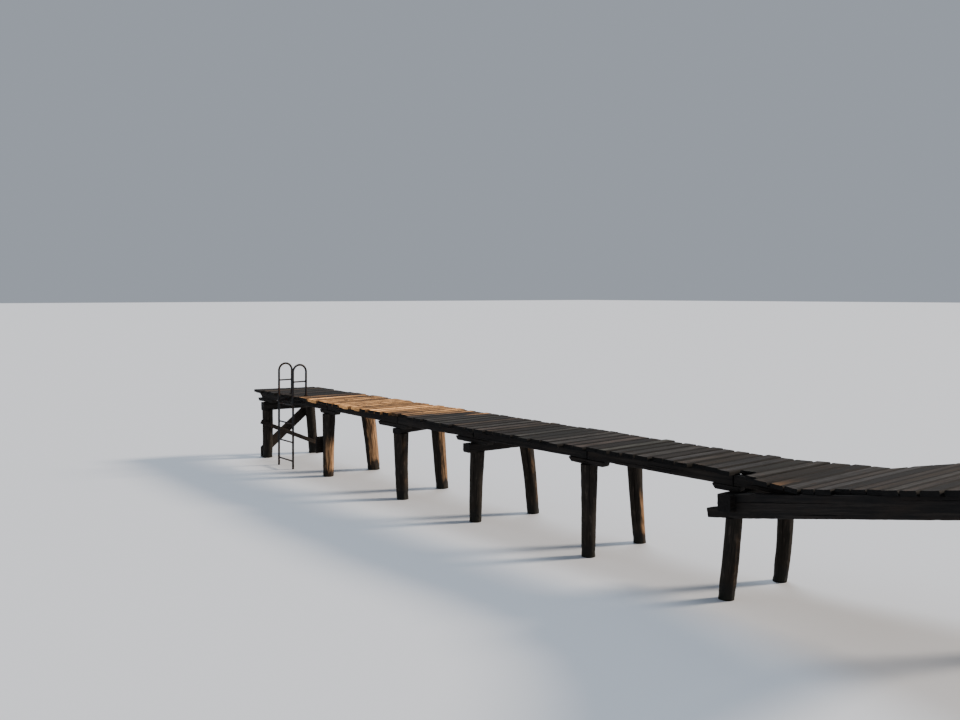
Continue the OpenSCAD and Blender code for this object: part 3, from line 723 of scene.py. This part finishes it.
def board_finish(name):
    """Deck boards, no two alike: each leans to grey, to green-grey, to red-brown or to tan,
    and is paler or darker as a whole. Within one, bands and fibres run along the grain,
    feet have scuffed pale spots, rain has left dark ones, and the cracks hold grime. The
    rounded edges, the sides and the end faces are near black, partly grime and partly painted
    shade in the gaps between boards. Near each end the wood is paler, a painted reflection,
    and towards the far end it is darker, painted shade. Towards the lake a patch of painted
    sunlight gives them a warm tan, and there some of them keep pale ends, painted sunlight too."""
    f = Finish(name)
    tone, hue = f.attribute("tone"), f.attribute("hue")
    fibre = f.grained(6, 300, 6, 0.65, 0.4)
    bands = f.grained(1.3, 48, 5, 0.6, 0.9)
    cloud = f.grained(3.0, 11, 5, 0.62)
    scuff = f.noise(f.place(), 9.0, 6, 0.68)
    split = 1 - f.grained(2.4, 120, 3, 0.5, 0.5).ramp(0.32, 0.37)
    base = rgb(0.025, 0.023, 0.021)
    for start, tint in ((0.20, rgb(0.021, 0.021, 0.018)), (0.42, rgb(0.027, 0.021, 0.018)),
                        (0.62, rgb(0.018, 0.017, 0.017)), (0.86, rgb(0.042, 0.030, 0.021))):
        base = f.mix(hue.ramp(start, start + 0.06), base, tint)
    # Painted sunlight: a warm tan patch on the boards towards the lake, with a slanting, noisy edge
    along = f.coordinate("X") + (cloud - 0.5) * 0.8 + (hue - 0.5) * 0.5 - f.coordinate("Y") * 0.5
    painted_sunlight = along.ramp(*SUNLIT_PATCH_FROM) ** 1.4 * (1 - along.ramp(*SUNLIT_PATCH_TO))
    base = f.mix(painted_sunlight * 0.94, base, rgb(0.780, 0.395, 0.145))
    base = f.shaded(base, tone * (0.75 - painted_sunlight * 0.45) + 1.10)
    share = ((bands - 0.5) * 2.2 + (fibre - 0.5) + tone * 0.2 + 0.5).held()
    f.colour = f.mix(share, f.shaded(base, 0.25), base)
    f.coat((share * 1.8 - 0.85).held() * (0.60 + tone * 0.3), f.shaded(base, 2.2))
    f.coat(cloud.ramp(0.50, 0.66) * (0.6 - painted_sunlight * 0.05), f.shaded(base, 0.35))
    f.coat(scuff.ramp(0.60, 0.70) * 0.5, f.shaded(base, 2.2))
    rained = 1 - (scuff - painted_sunlight * 0.05).ramp(0.35, 0.42)
    f.coat(rained * 0.7, rgb(0.012, 0.010, 0.009))
    rusted = f.attribute("rust") * (0.5 + fibre) * 0.9
    f.coat(rusted.held(), rgb(0.040, 0.017, 0.008))
    end = f.attribute("endwood")
    # Painted reflection: the wood is paler for a few centimetres in from each end
    f.coat(end ** 0.25 * (0.35 + fibre * 0.5), f.shaded(base, 2.0))
    fresh = f.attribute("fresh") * (bands + 0.4) * 0.8
    f.coat(fresh.held(), rgb(0.170, 0.088, 0.034))
    # Painted shade: darker towards each board's far end, reaching in further where the clouds are high
    rot = (f.attribute("rot") + (cloud - 0.5) * 0.8) * 1.6 - 0.4
    f.coat(rot.held() * 0.85, rgb(0.010, 0.008, 0.007))
    # Near black on the rounded edges, the sides and the end faces: partly grime, partly painted shade in
    # the gaps and on the ends
    darkening = f.attribute("edge").ramp(0.0, 0.6) * (0.97 - painted_sunlight * 0.15) + end.ramp(0.80, 0.97)
    # Painted sunlight on the ends of some boards in the sunlit patch: they are kept pale there
    sunlit_end = end.ramp(0.4, 0.8) * hue.ramp(0.68, 0.72) * painted_sunlight
    f.coat(darkening.held() * (1 - sunlit_end * 0.8), rgb(0.003, 0.0027, 0.0024))
    f.coat((f.attribute("crack").ramp(0.1, 0.9) + split * 0.8).held(), BLACK)
    height = fibre * 0.45 + bands * 0.5 - split * 0.9 + cloud * 0.25
    return f.done((0.74 + fibre * 0.2).held(), height, 0.003)


def log_finish(name):
    """A peeled hardwood post, dark as a whole. Where its tone is high, painted sunlight shows
    as tan wood between long dark furrows that run down it, and where its hue is 1 only in its
    lower half. Below a ragged line the water keeps it black and a little green."""
    f = Finish(name)
    z = f.coordinate("Z")
    fibre = f.grained(7, 120, 6, 0.62, 0.5)
    furrow = f.grained(2.2, 44, 5, 0.6, 0.7)
    patch = f.grained(5, 11, 5, 0.62)
    peel = f.grained(12, 30, 4, 0.55)
    # The post's painted sunlight: its tone, kept to the lower half where its hue is 1
    above = (z + (patch - 0.5) * 0.5).ramp(0.42, 0.66)
    tan = f.attribute("tone") * (1 - f.attribute("hue") * above)
    aged = f.mix(fibre.ramp(0.3, 0.7), rgb(0.007, 0.006, 0.005), rgb(0.032, 0.025, 0.019))
    aged = f.mix(peel.ramp(0.56, 0.66) * 0.5, aged, rgb(0.062, 0.050, 0.039))
    # Tan wood, the colour that the painted sunlight gives
    sunlit_tan = f.mix(fibre.ramp(0.3, 0.7), rgb(0.160, 0.084, 0.040), rgb(0.620, 0.360, 0.180))
    sunlit_share = tan * 1.25 + (patch - 0.55) * 1.6 * tan.ramp(0.0, 0.1) + (peel - 0.5) * 0.6 * tan
    f.colour = f.mix(sunlit_share.held(), aged, sunlit_tan)
    f.coat((1 - furrow.ramp(0.42, 0.52)) * 0.85, rgb(0.010, 0.008, 0.006))
    line = z + (patch - 0.5) * 0.26 + (furrow - 0.5) * 0.20
    wet = 1 - line.ramp(0.10, 0.17)
    f.coat(wet * 0.93, rgb(0.005, 0.0045, 0.004))
    green = (1 - line.ramp(0.02, 0.10)) * peel.ramp(0.35, 0.6) * 0.4
    f.coat(green, rgb(0.014, 0.017, 0.008))
    f.coat(f.attribute("edge").ramp(0.15, 0.9) * 0.6, rgb(0.020, 0.013, 0.009))
    f.coat(f.attribute("crack").ramp(0.1, 0.8), BLACK)
    height = fibre * 0.4 + furrow * 0.9 + peel * 0.3 + patch * 0.2
    return f.done((0.88 - wet * 0.2).held(), height, 0.005)


def pipe_finish(name):
    """Rusty pipe: dark brown paint left in patches, rust scale over the rest, a little pale
    steel high up, partly worn clean by hands and partly a painted highlight, and a dark wet foot."""
    f = Finish(name)
    place, z = f.place(), f.coordinate("Z")
    scale = f.noise(place, 46, 6, 0.62)
    patch = f.noise(place, 9, 5, 0.6, 0.4)
    pits = f.noise(place, 210, 3, 0.5)
    rust = f.mix(scale.ramp(0.35, 0.68), rgb(0.018, 0.010, 0.007), rgb(0.055, 0.028, 0.017))
    paint = f.mix(pits.ramp(0.3, 0.7), rgb(0.008, 0.008, 0.009), rgb(0.019, 0.019, 0.021))
    left = patch.ramp(0.38, 0.50)
    f.colour = f.mix(left, rust, paint)
    # Pale steel high up: partly worn by hands, partly a painted highlight
    rub_and_glint = z.ramp(1.35, 1.60) * scale.ramp(0.5, 0.62) * 0.25
    f.coat(rub_and_glint, rgb(0.20, 0.18, 0.16))
    wet = 1 - (z + (patch - 0.5) * 0.08).ramp(0.06, 0.14)
    f.coat(wet * 0.7, rgb(0.012, 0.008, 0.006))
    height = scale * 0.6 + pits * 0.4 - left * 0.25
    return f.done((0.82 - left * 0.3 - wet * 0.3 - rub_and_glint * 0.3).held(), height, 0.0009)


def nail_finish(name):
    f = Finish(name)
    spots = f.noise(f.place(), 320, 4, 0.6)
    f.colour = f.mix(spots.ramp(0.35, 0.65), rgb(0.030, 0.016, 0.010), rgb(0.100, 0.045, 0.022))
    return f.done((0.55 + spots * 0.3).held(), spots, 0.0005)


BOARD = board_finish("weathered_board")
TIMBER = sawn_finish("dark_timber", rgb(0.003, 0.003, 0.003), rgb(0.011, 0.009, 0.008),
                     rgb(0.030, 0.025, 0.021), rgb(0.024, 0.016, 0.011), 0.7)
PLANK = sawn_finish("end_plank", rgb(0.005, 0.004, 0.004), rgb(0.017, 0.013, 0.010),
                    rgb(0.042, 0.033, 0.026), rgb(0.032, 0.021, 0.014), 0.6)
LOG = log_finish("old_log")
PIPE = pipe_finish("rusty_pipe")
NAIL = nail_finish("rusty_nail")


# ---- the boards, with their nails ----

# Nail lines over the stringers and the ramp beams, how deep the heads are driven in, how
# far out every board but the broken one reaches, and where the fresher one lies
NAIL_LINES = {DECK: (-0.425, 0.37), RAMP: (-0.62, -0.02, 0.62)}
HEAD_SUNK, WHOLE_V, FRESH_U, FRESH_WITHIN = 0.0022, -0.42, 10.25, 0.06
BOARD_PLAN = dict(turns=4, step=0.022, spans=(2, 2, 11, 2), cracks=(0, 0, 3, 0), wear=0.0015,
                  crack_w=0.0055, crack_d=0.016, grime_and_shade=True)


def nail_row(heads, sections, slope, rng, settle):
    """Two nails over each stringer. Gives their places in the board's own measures, for
    the rust under them, and adds their heads to the pile."""
    length = length_of(sections)
    ends = slope.local(sections.mean(1))
    places = []
    for v in NAIL_LINES[slope]:
        share = (v - ends[0, 1]) / (ends[1, 1] - ends[0, 1])
        if not 0.05 < share < 0.95:
            continue
        c = loft(sections, np.array(share * length))
        half = np.linalg.norm(c[1] - c[0]) / 2
        for side in (-1, 1):
            x = side * half * rng.uniform(0.38, 0.62)
            at = share * length + rng.uniform(-0.018, 0.018)
            c = loft(sections, np.array(at))
            top = c[3] * (0.5 - x / half / 2) + c[2] * (0.5 + x / half / 2)
            low = HEAD_SUNK + sunk_by(settle, share, x / half)
            dome(heads, top - slope.axes[2] * low, slope.axes, rng.uniform(0.0048, 0.0062), 0.0018)
            places.append((at, x))
    return places


heads = Pile()
BOARD_NODES = [("deck_bay_%d" % k, DECK, "boards_%d" % k) for k in range(1, 6)]
BOARD_NODES += [("landing_deck", DECK, "boards_landing"), ("ramp_deck", RAMP, "boards_ramp")]
seed = 700
for node, slope, name in BOARD_NODES:
    pile = Pile()
    for corners in sorted(solids(node), key=lambda c: c[:, 0].mean()):
        seed += 1
        rng = np.random.default_rng(seed)
        sections = boxed(corners, slope, 1)
        near_u, near_v = slope.local(sections[0]).mean(0)[:2]
        fresh = slope is DECK and abs(near_u - FRESH_U) < FRESH_WITHIN
        settle = (rng.uniform(0, 0.003), rng.uniform(0, 0.002), rng.uniform(-0.8, 0.8),
                  rng.uniform(-0.6, 0.6))
        near_splinter = 0.045 if near_v > WHOLE_V else rng.choice([0.0, 0.0, 0.02])
        splinter = (near_splinter, rng.choice([0.0, 0.0, 0.02]))
        nails = nail_row(heads, sections, slope, rng, settle)
        timber(pile, sections, seed, radius=rng.uniform(0.004, 0.008),
               crown=rng.uniform(0.009, 0.015), jag=rng.uniform(0.002, 0.008),
               tone=rng.uniform(-1, 1), hue=rng.uniform(0, 1), rot=rng.uniform(0.3, 1),
               fresh=float(fresh), settle=settle, splinter=splinter, nails=nails, **BOARD_PLAN)
    pile.piece(name, BOARD, (node,))

# ---- stringers, corbels, cross beams, ramp beams and bearer ----

BEAM = dict(radius=0.007, step=0.026, spans=(4, 7, 4, 7), cracks=(1, 2, 1, 2), crack_d=0.014,
            jag=0.005, wear=0.0025)
CORBEL = dict(BEAM, spans=(4, 4, 4, 4), cracks=(0, 1, 0, 1), step=0.02)
CROSS_BEAM = dict(BEAM, radius=0.012, chips=1.4)
RAMP_BEAM = dict(BEAM, radius=0.010, step=0.024, spans=(5, 10, 5, 10), cracks=(1, 3, 1, 3))


def stringer_sections(corners):
    """A stringer from end to end. The first one is cut up underneath at its lake end, over
    a length of END_CUT."""
    ends = boxed(corners, DECK, 0)
    if len(corners) == 8:
        return ends
    share = END_CUT / length_of(ends)
    middle = ends[0] * (1 - share) + ends[1] * share
    middle[:2] = middle[3:1:-1] - DECK.axes[2] * STRINGER_H
    return np.array([ends[0], middle, ends[1]])


for side, seed in (("near", 80), ("far", 70)):
    pile = Pile()
    for i, corners in enumerate(solids("stringers_" + side)):
        timber(pile, stringer_sections(corners), seed + i, tone=0.2 * (i % 3 - 1), **BEAM)
    pile.piece("stringer_timbers_" + side, TIMBER, ("stringers_" + side,))
    pile = Pile()
    for i, corners in enumerate(solids("corbels_" + side)):
        tone = 0.3 * (i % 3 - 1)
        timber(pile, profiled(corners, DECK), seed + 40 + i, tone=tone, **CORBEL)
    pile.piece("corbel_blocks_" + side, TIMBER, ("corbels_" + side,))

for k, slope in ((1, DECK), (3, DECK), (4, DECK), (6, DECK), (7, RAMP)):
    node = "headstock_%d" % k
    one_timber("cross_beam_%d" % k, TIMBER, node, squared(solids(node)[0], slope), 120 + k,
               tone=0.1 * (k - 4), **CROSS_BEAM)

for node, sections, seed in (("ramp_corbel", profiled(solids("ramp_corbel")[0], RAMP), 141),
                             ("ramp_joist", boxed(solids("ramp_joist")[0], RAMP, 0), 142)):
    one_timber(node + "_timber", TIMBER, node, sections, seed, **BEAM)

# A ramp beam: its width, its halved end, where its taper underneath starts and how far
# before the shore it stops, and how far it runs on there
RAMP_BEAM_W, HALVED_H, HALVED_L = 0.115, 0.092, 0.330
TAPER_START, TAPER_STOP, RUN_ON = 0.160, 0.300, 0.110


def ramp_beam_sections(side):
    """The splayed beam's outline on its own upright plane: a halved end under the cross
    beam, a shoulder, the full depth, and a taper underneath towards the bank."""
    under, shore_under = -BOARD_T - RAMP_BEAM_H, -BOARD_T - SHORE_END_H
    top_x = BENTS[5] + LEAN[side][5][0] * MM
    c, s = math.cos(RAMP_SLOPE), math.sin(RAMP_SLOPE)
    start = (top_x - ELBOW_X + under * s) / c
    shore = (BENTS[6] - ELBOW_X + (shore_under - SHORE_BEAM_H) * s) / c
    run, rise = shore - start, (SHORE_ROW - POST_ROW) / 2
    span, angle = math.hypot(run, rise), math.atan2(rise, run)
    stub = under + HALVED_H
    plan = [(-HALVED_L, under, stub), (-0.001, under, stub), (0.0, under, -BOARD_T),
            (TAPER_START, under, -BOARD_T), (span - TAPER_STOP, shore_under, -BOARD_T),
            (span + RUN_ON, shore_under, -BOARD_T)]
    local = []
    for u, low, high in plan:
        ring = []
        for a, b in SIGNS:
            off = a * RAMP_BEAM_W / 2
            along = start + u * math.cos(angle) - side * off * math.sin(angle)
            across = side * POST_ROW / 2 + side * u * math.sin(angle) + off * math.cos(angle)
            ring.append([along, across, (low, high)[b > 0]])
        local.append(ring)
    return RAMP.world(np.array(local))


for side, name in ((NEAR, "near"), (FAR, "far")):
    one_timber("ramp_beam_timber_" + name, TIMBER, "ramp_beam_" + name, ramp_beam_sections(side),
               151 + side, tone=-0.1, **RAMP_BEAM)


def bearer_sections():
    """The bearer under the elbow, carried from its lake side to its bank side. Between
    them only a length where two corners meet gives a section."""
    same, inside = 1e-3, 0.01
    q = DECK.local(solids("landing_bearer")[0])
    u, base = q[:, 0], q[:, 2].min()
    low, high = u.min(), u.max()
    reaches = [abs(q[u < low + same, 1]).min(), abs(q[u > high - same, 1]).min()]
    sections = []
    for at in np.unique(u.round(3)):
        here = q[abs(u - at) < same]
        if low + inside < at < high - inside and len(here) < 2:
            continue
        reach = np.interp(at, [low, high], reaches)
        sections.append(section(at, -reach, reach, base, here[:, 2].max()))
    return DECK.world(np.array(sections))


one_timber("landing_bearer_timber", TIMBER, "landing_bearer", bearer_sections(), 161, step=0.03,
           radius=0.006, spans=(16, 3, 16, 3), cracks=(0, 0, 0, 0), jag=0.002, wear=0.002)

# ---- the planks of the end bent ----

PLANK_T, BRACE_W, RAIL_W = 0.032, 0.160, 0.070
PLANK_PLAN = dict(radius=0.004, step=0.016, spans=(2, 9, 2, 9), cracks=(0, 2, 0, 2), jag=0.006,
                  wear=0.002)
NARROW = dict(PLANK_PLAN, spans=(2, 5, 2, 5), cracks=(0, 1, 0, 1))
RAGGED = dict(PLANK_PLAN, jag=0.012, chips=2.0)


def skin_point(side, t, way, width):
    """Where a plank of that width lies against an end post, on its bank side or its lake
    side. It stands off by what the post swells over its width."""
    r = log_radius(0, side, t, 0.0 if way > 0 else math.pi)
    x, y = log_axis(0, side, t)
    height = seat_level(0, x + way * r)
    swell = 0.7 * width * abs(flare_of(0, side)) * girth_of(0, side) * t / height
    return np.array([x + way * (r + 0.0003 + swell), y, t * height])


def plank_sections(near_t, far_t, width, before, after, way):
    """A plank whose back face's middle line runs from the near end post, at the share
    near_t of its height, to the far one, at far_t, and on past both."""
    p, q = skin_point(NEAR, near_t, way, width), skin_point(FAR, far_t, way, width)
    d = (q - p) / np.linalg.norm(q - p)
    out = np.cross(d, [0, 0, 1.0])
    out *= way * np.sign(out[0]) / np.linalg.norm(out)
    up = np.cross(out, d)
    up *= np.sign(up[2])
    ends = []
    for at in (p - d * before, q + d * after):
        ends.append([at + out * PLANK_T * (a > 0) + up * b * width / 2 for a, b in SIGNS])
    return np.array(ends) - [MID_X, 0, 0]


def trim(obj, cuts):
    """Saws a piece off along planes, each a point on it and the side that goes."""
    bm = bmesh.new()
    bm.from_mesh(obj.data)
    for point, away in cuts:
        every = bm.verts[:] + bm.edges[:] + bm.faces[:]
        cut = bmesh.ops.bisect_plane(bm, geom=every, plane_co=point, plane_no=away, clear_outer=True)
        rim = [e for e in cut["geom_cut"] if isinstance(e, bmesh.types.BMEdge)]
        new = bmesh.ops.holes_fill(bm, edges=rim, sides=0)["faces"]
        bmesh.ops.triangulate(bm, faces=new)
    bm.to_mesh(obj.data)
    bm.free()


brace = plank_sections(0.16, 0.97, BRACE_W, 0.200, 0.040, -1)
diagonal = one_timber("diagonal_plank", PLANK, "end_brace", brace, 171, tone=0.3, **PLANK_PLAN)
outside_post = (0, -POST_ROW / 2 - 0.070, 0)
under_beam = DECK.world(np.array([0.0, 0.0, CORBEL_W - CROSS_BEAM_H[0]]))
trim(diagonal, [((0, 0, 0), (0, 0, -1)), (outside_post, (0, -1, 0)), (under_beam, DECK.axes[2])])

rail = plank_sections(0.69, 0.24, RAIL_W, 0.190, 0.130, 1)
one_timber("flat_plank", PLANK, "end_rail", rail, 172, tone=-0.2, **NARROW)

old = boxed(solids("old_plank_end")[0], Slope(0.0, 0.0, 0.0), 1)
one_timber("old_plank", PLANK, "old_plank_end", old, 173, tone=-0.4, **RAGGED)

# ---- the posts ----

for side, name in ((NEAR, "near"), (FAR, "far")):
    for k in range(7):
        pile = Pile()
        log(pile, k, side, 200 + 10 * k + side)
        pile.piece("log_%d_%s" % (k + 1, name), LOG, ("post_%d_%s" % (k + 1, name),))

# ---- the bolts of the end planks ----

for way, sections, shares in ((-1, brace, (0.30, 0.90)), (1, rail, (0.17, 0.87))):
    axes = np.array([[0, 1, 0], [0, 0, 1], [way, 0, 0]], float)
    for share in shares:
        for off in (-0.25, 0.25):
            c = loft(sections, np.array(length_of(sections) * share))
            at = c[1] * (0.5 - off) + c[2] * (0.5 + off)
            dome(heads, at - axes[2] * HEAD_SUNK, axes, 0.009, 0.005, 10, 0.004)
heads.piece("nail_heads", NAIL)

# ---- the ladder ----

for node in ("ladder_rail_left", "ladder_rail_right", "ladder_rungs", "ladder_grab_bars",
             "ladder_brackets"):
    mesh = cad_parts[node].data
    mesh.materials.clear()
    mesh.materials.append(PIPE)
    mesh.shade_smooth()

# The rails' places and their loops; the pipes' radii and the rungs' heights; the bars and
# the foot plates above the deck, with the plates' bolts; and the weld beads
RAIL_Y, LADDER_X, LADDER_W, LOOP_W = -0.598, 0.785, 0.495, 0.230
PIPE_R, RUNG_R, RUNG_Z, RUNG_STEP = 0.017, 0.012, 0.125, 0.298
BAR_UP, PLATE_UP, BOLT_CIRCLE_R, BOLT_SUNK = 0.232, 0.0085, 0.027, 0.0012
WELD_OFF, WELD_GAP, BEAD_R, PLATE_BEAD_R = 0.001, 0.0005, 0.0032, 0.0035

beads = Pile()
for j in range(4):
    for rail_x, way in ((LADDER_X, 1), (LADDER_X + LADDER_W, -1)):
        at = np.array([rail_x + way * (PIPE_R + WELD_OFF) - MID_X, RAIL_Y, RUNG_Z + RUNG_STEP * j])
        weld(beads, at, (1, 0, 0), RUNG_R + WELD_GAP, BEAD_R, 300 + j)
for rail_x in (LADDER_X, LADDER_X + LADDER_W):
    level = DECK.level(rail_x)
    for y, way in ((RAIL_Y, 1), (RAIL_Y + LOOP_W, -1)):
        at = np.array([rail_x - MID_X, y + way * (PIPE_R + WELD_OFF), level + BAR_UP])
        weld(beads, at, (0, 1, 0), RUNG_R + WELD_GAP, BEAD_R, 320)
    plate = np.array([rail_x - MID_X, RAIL_Y + LOOP_W, level + PLATE_UP])
    weld(beads, plate, (0, 0, 1), PIPE_R + WELD_GAP, PLATE_BEAD_R, 330)
    for turn in np.radians([45, 135, 225, 315]):
        x, y = BOLT_CIRCLE_R * math.cos(turn), BOLT_CIRCLE_R * math.sin(turn)
        bolt = plate + np.array([x, y, x * math.tan(DECK_TILT) - BOLT_SUNK])
        dome(beads, bolt, DECK.axes, 0.0055, 0.004, 6)
beads.piece("ladder_welds", PIPE)

# ---- floor, light and camera ----

FLOOR_HALF, FLOOR_Z = 300.0, -0.002
mesh = bpy.data.meshes.new("floor")
mesh.from_pydata([(x, y, FLOOR_Z) for x, y in SIGNS * FLOOR_HALF], [], [(0, 1, 2, 3)])
floor_finish = Finish("pale_floor")
mesh.materials.append(floor_finish.surface({"Base Color": rgb(0.70, 0.74, 0.80), "Roughness": 0.85}))
floor = placed("floor", mesh)

world = bpy.data.worlds.new("studio")
world.use_nodes = True
studio = world.node_tree.nodes["Background"].inputs
studio["Color"].default_value = (0.80, 0.88, 1.0, 1)
studio["Strength"].default_value = 0.42
bpy.context.scene.world = world


def sun(name, azimuth, elevation, strength, colour, spread):
    """Soft light from far off: azimuth is where it comes from, turned from +X to +Y."""
    data = bpy.data.lights.new(name, "SUN")
    data.energy, data.color, data.angle = strength, colour, math.radians(spread)
    placed(name, data).rotation_euler = (0, math.radians(90 - elevation), math.radians(azimuth))


sun("warm_key", VIEW_TURN + 12, 27, 4.9, (1.0, 0.84, 0.68), 10)
sun("cool_top", VIEW_TURN + 90, 62, 1.4, (0.88, 0.94, 1.0), 30)

EYE = (14.780 - MID_X, -7.5165, 2.800)
PHOTO_W, PHOTO_H, FOCAL_PX, HORIZON_PX, SENSOR_MM = 960, 720, 930, 294, 36.0
camera = bpy.data.cameras.new("camera")
camera.sensor_fit, camera.sensor_width = "HORIZONTAL", SENSOR_MM
camera.lens = SENSOR_MM * FOCAL_PX / PHOTO_W
camera.shift_y = (HORIZON_PX - PHOTO_H / 2) / PHOTO_W
camera.clip_end = 1000
eye = placed("camera", camera)
eye.location = EYE
eye.rotation_euler = (math.radians(90), 0, math.radians(VIEW_TURN))
bpy.context.scene.camera = eye
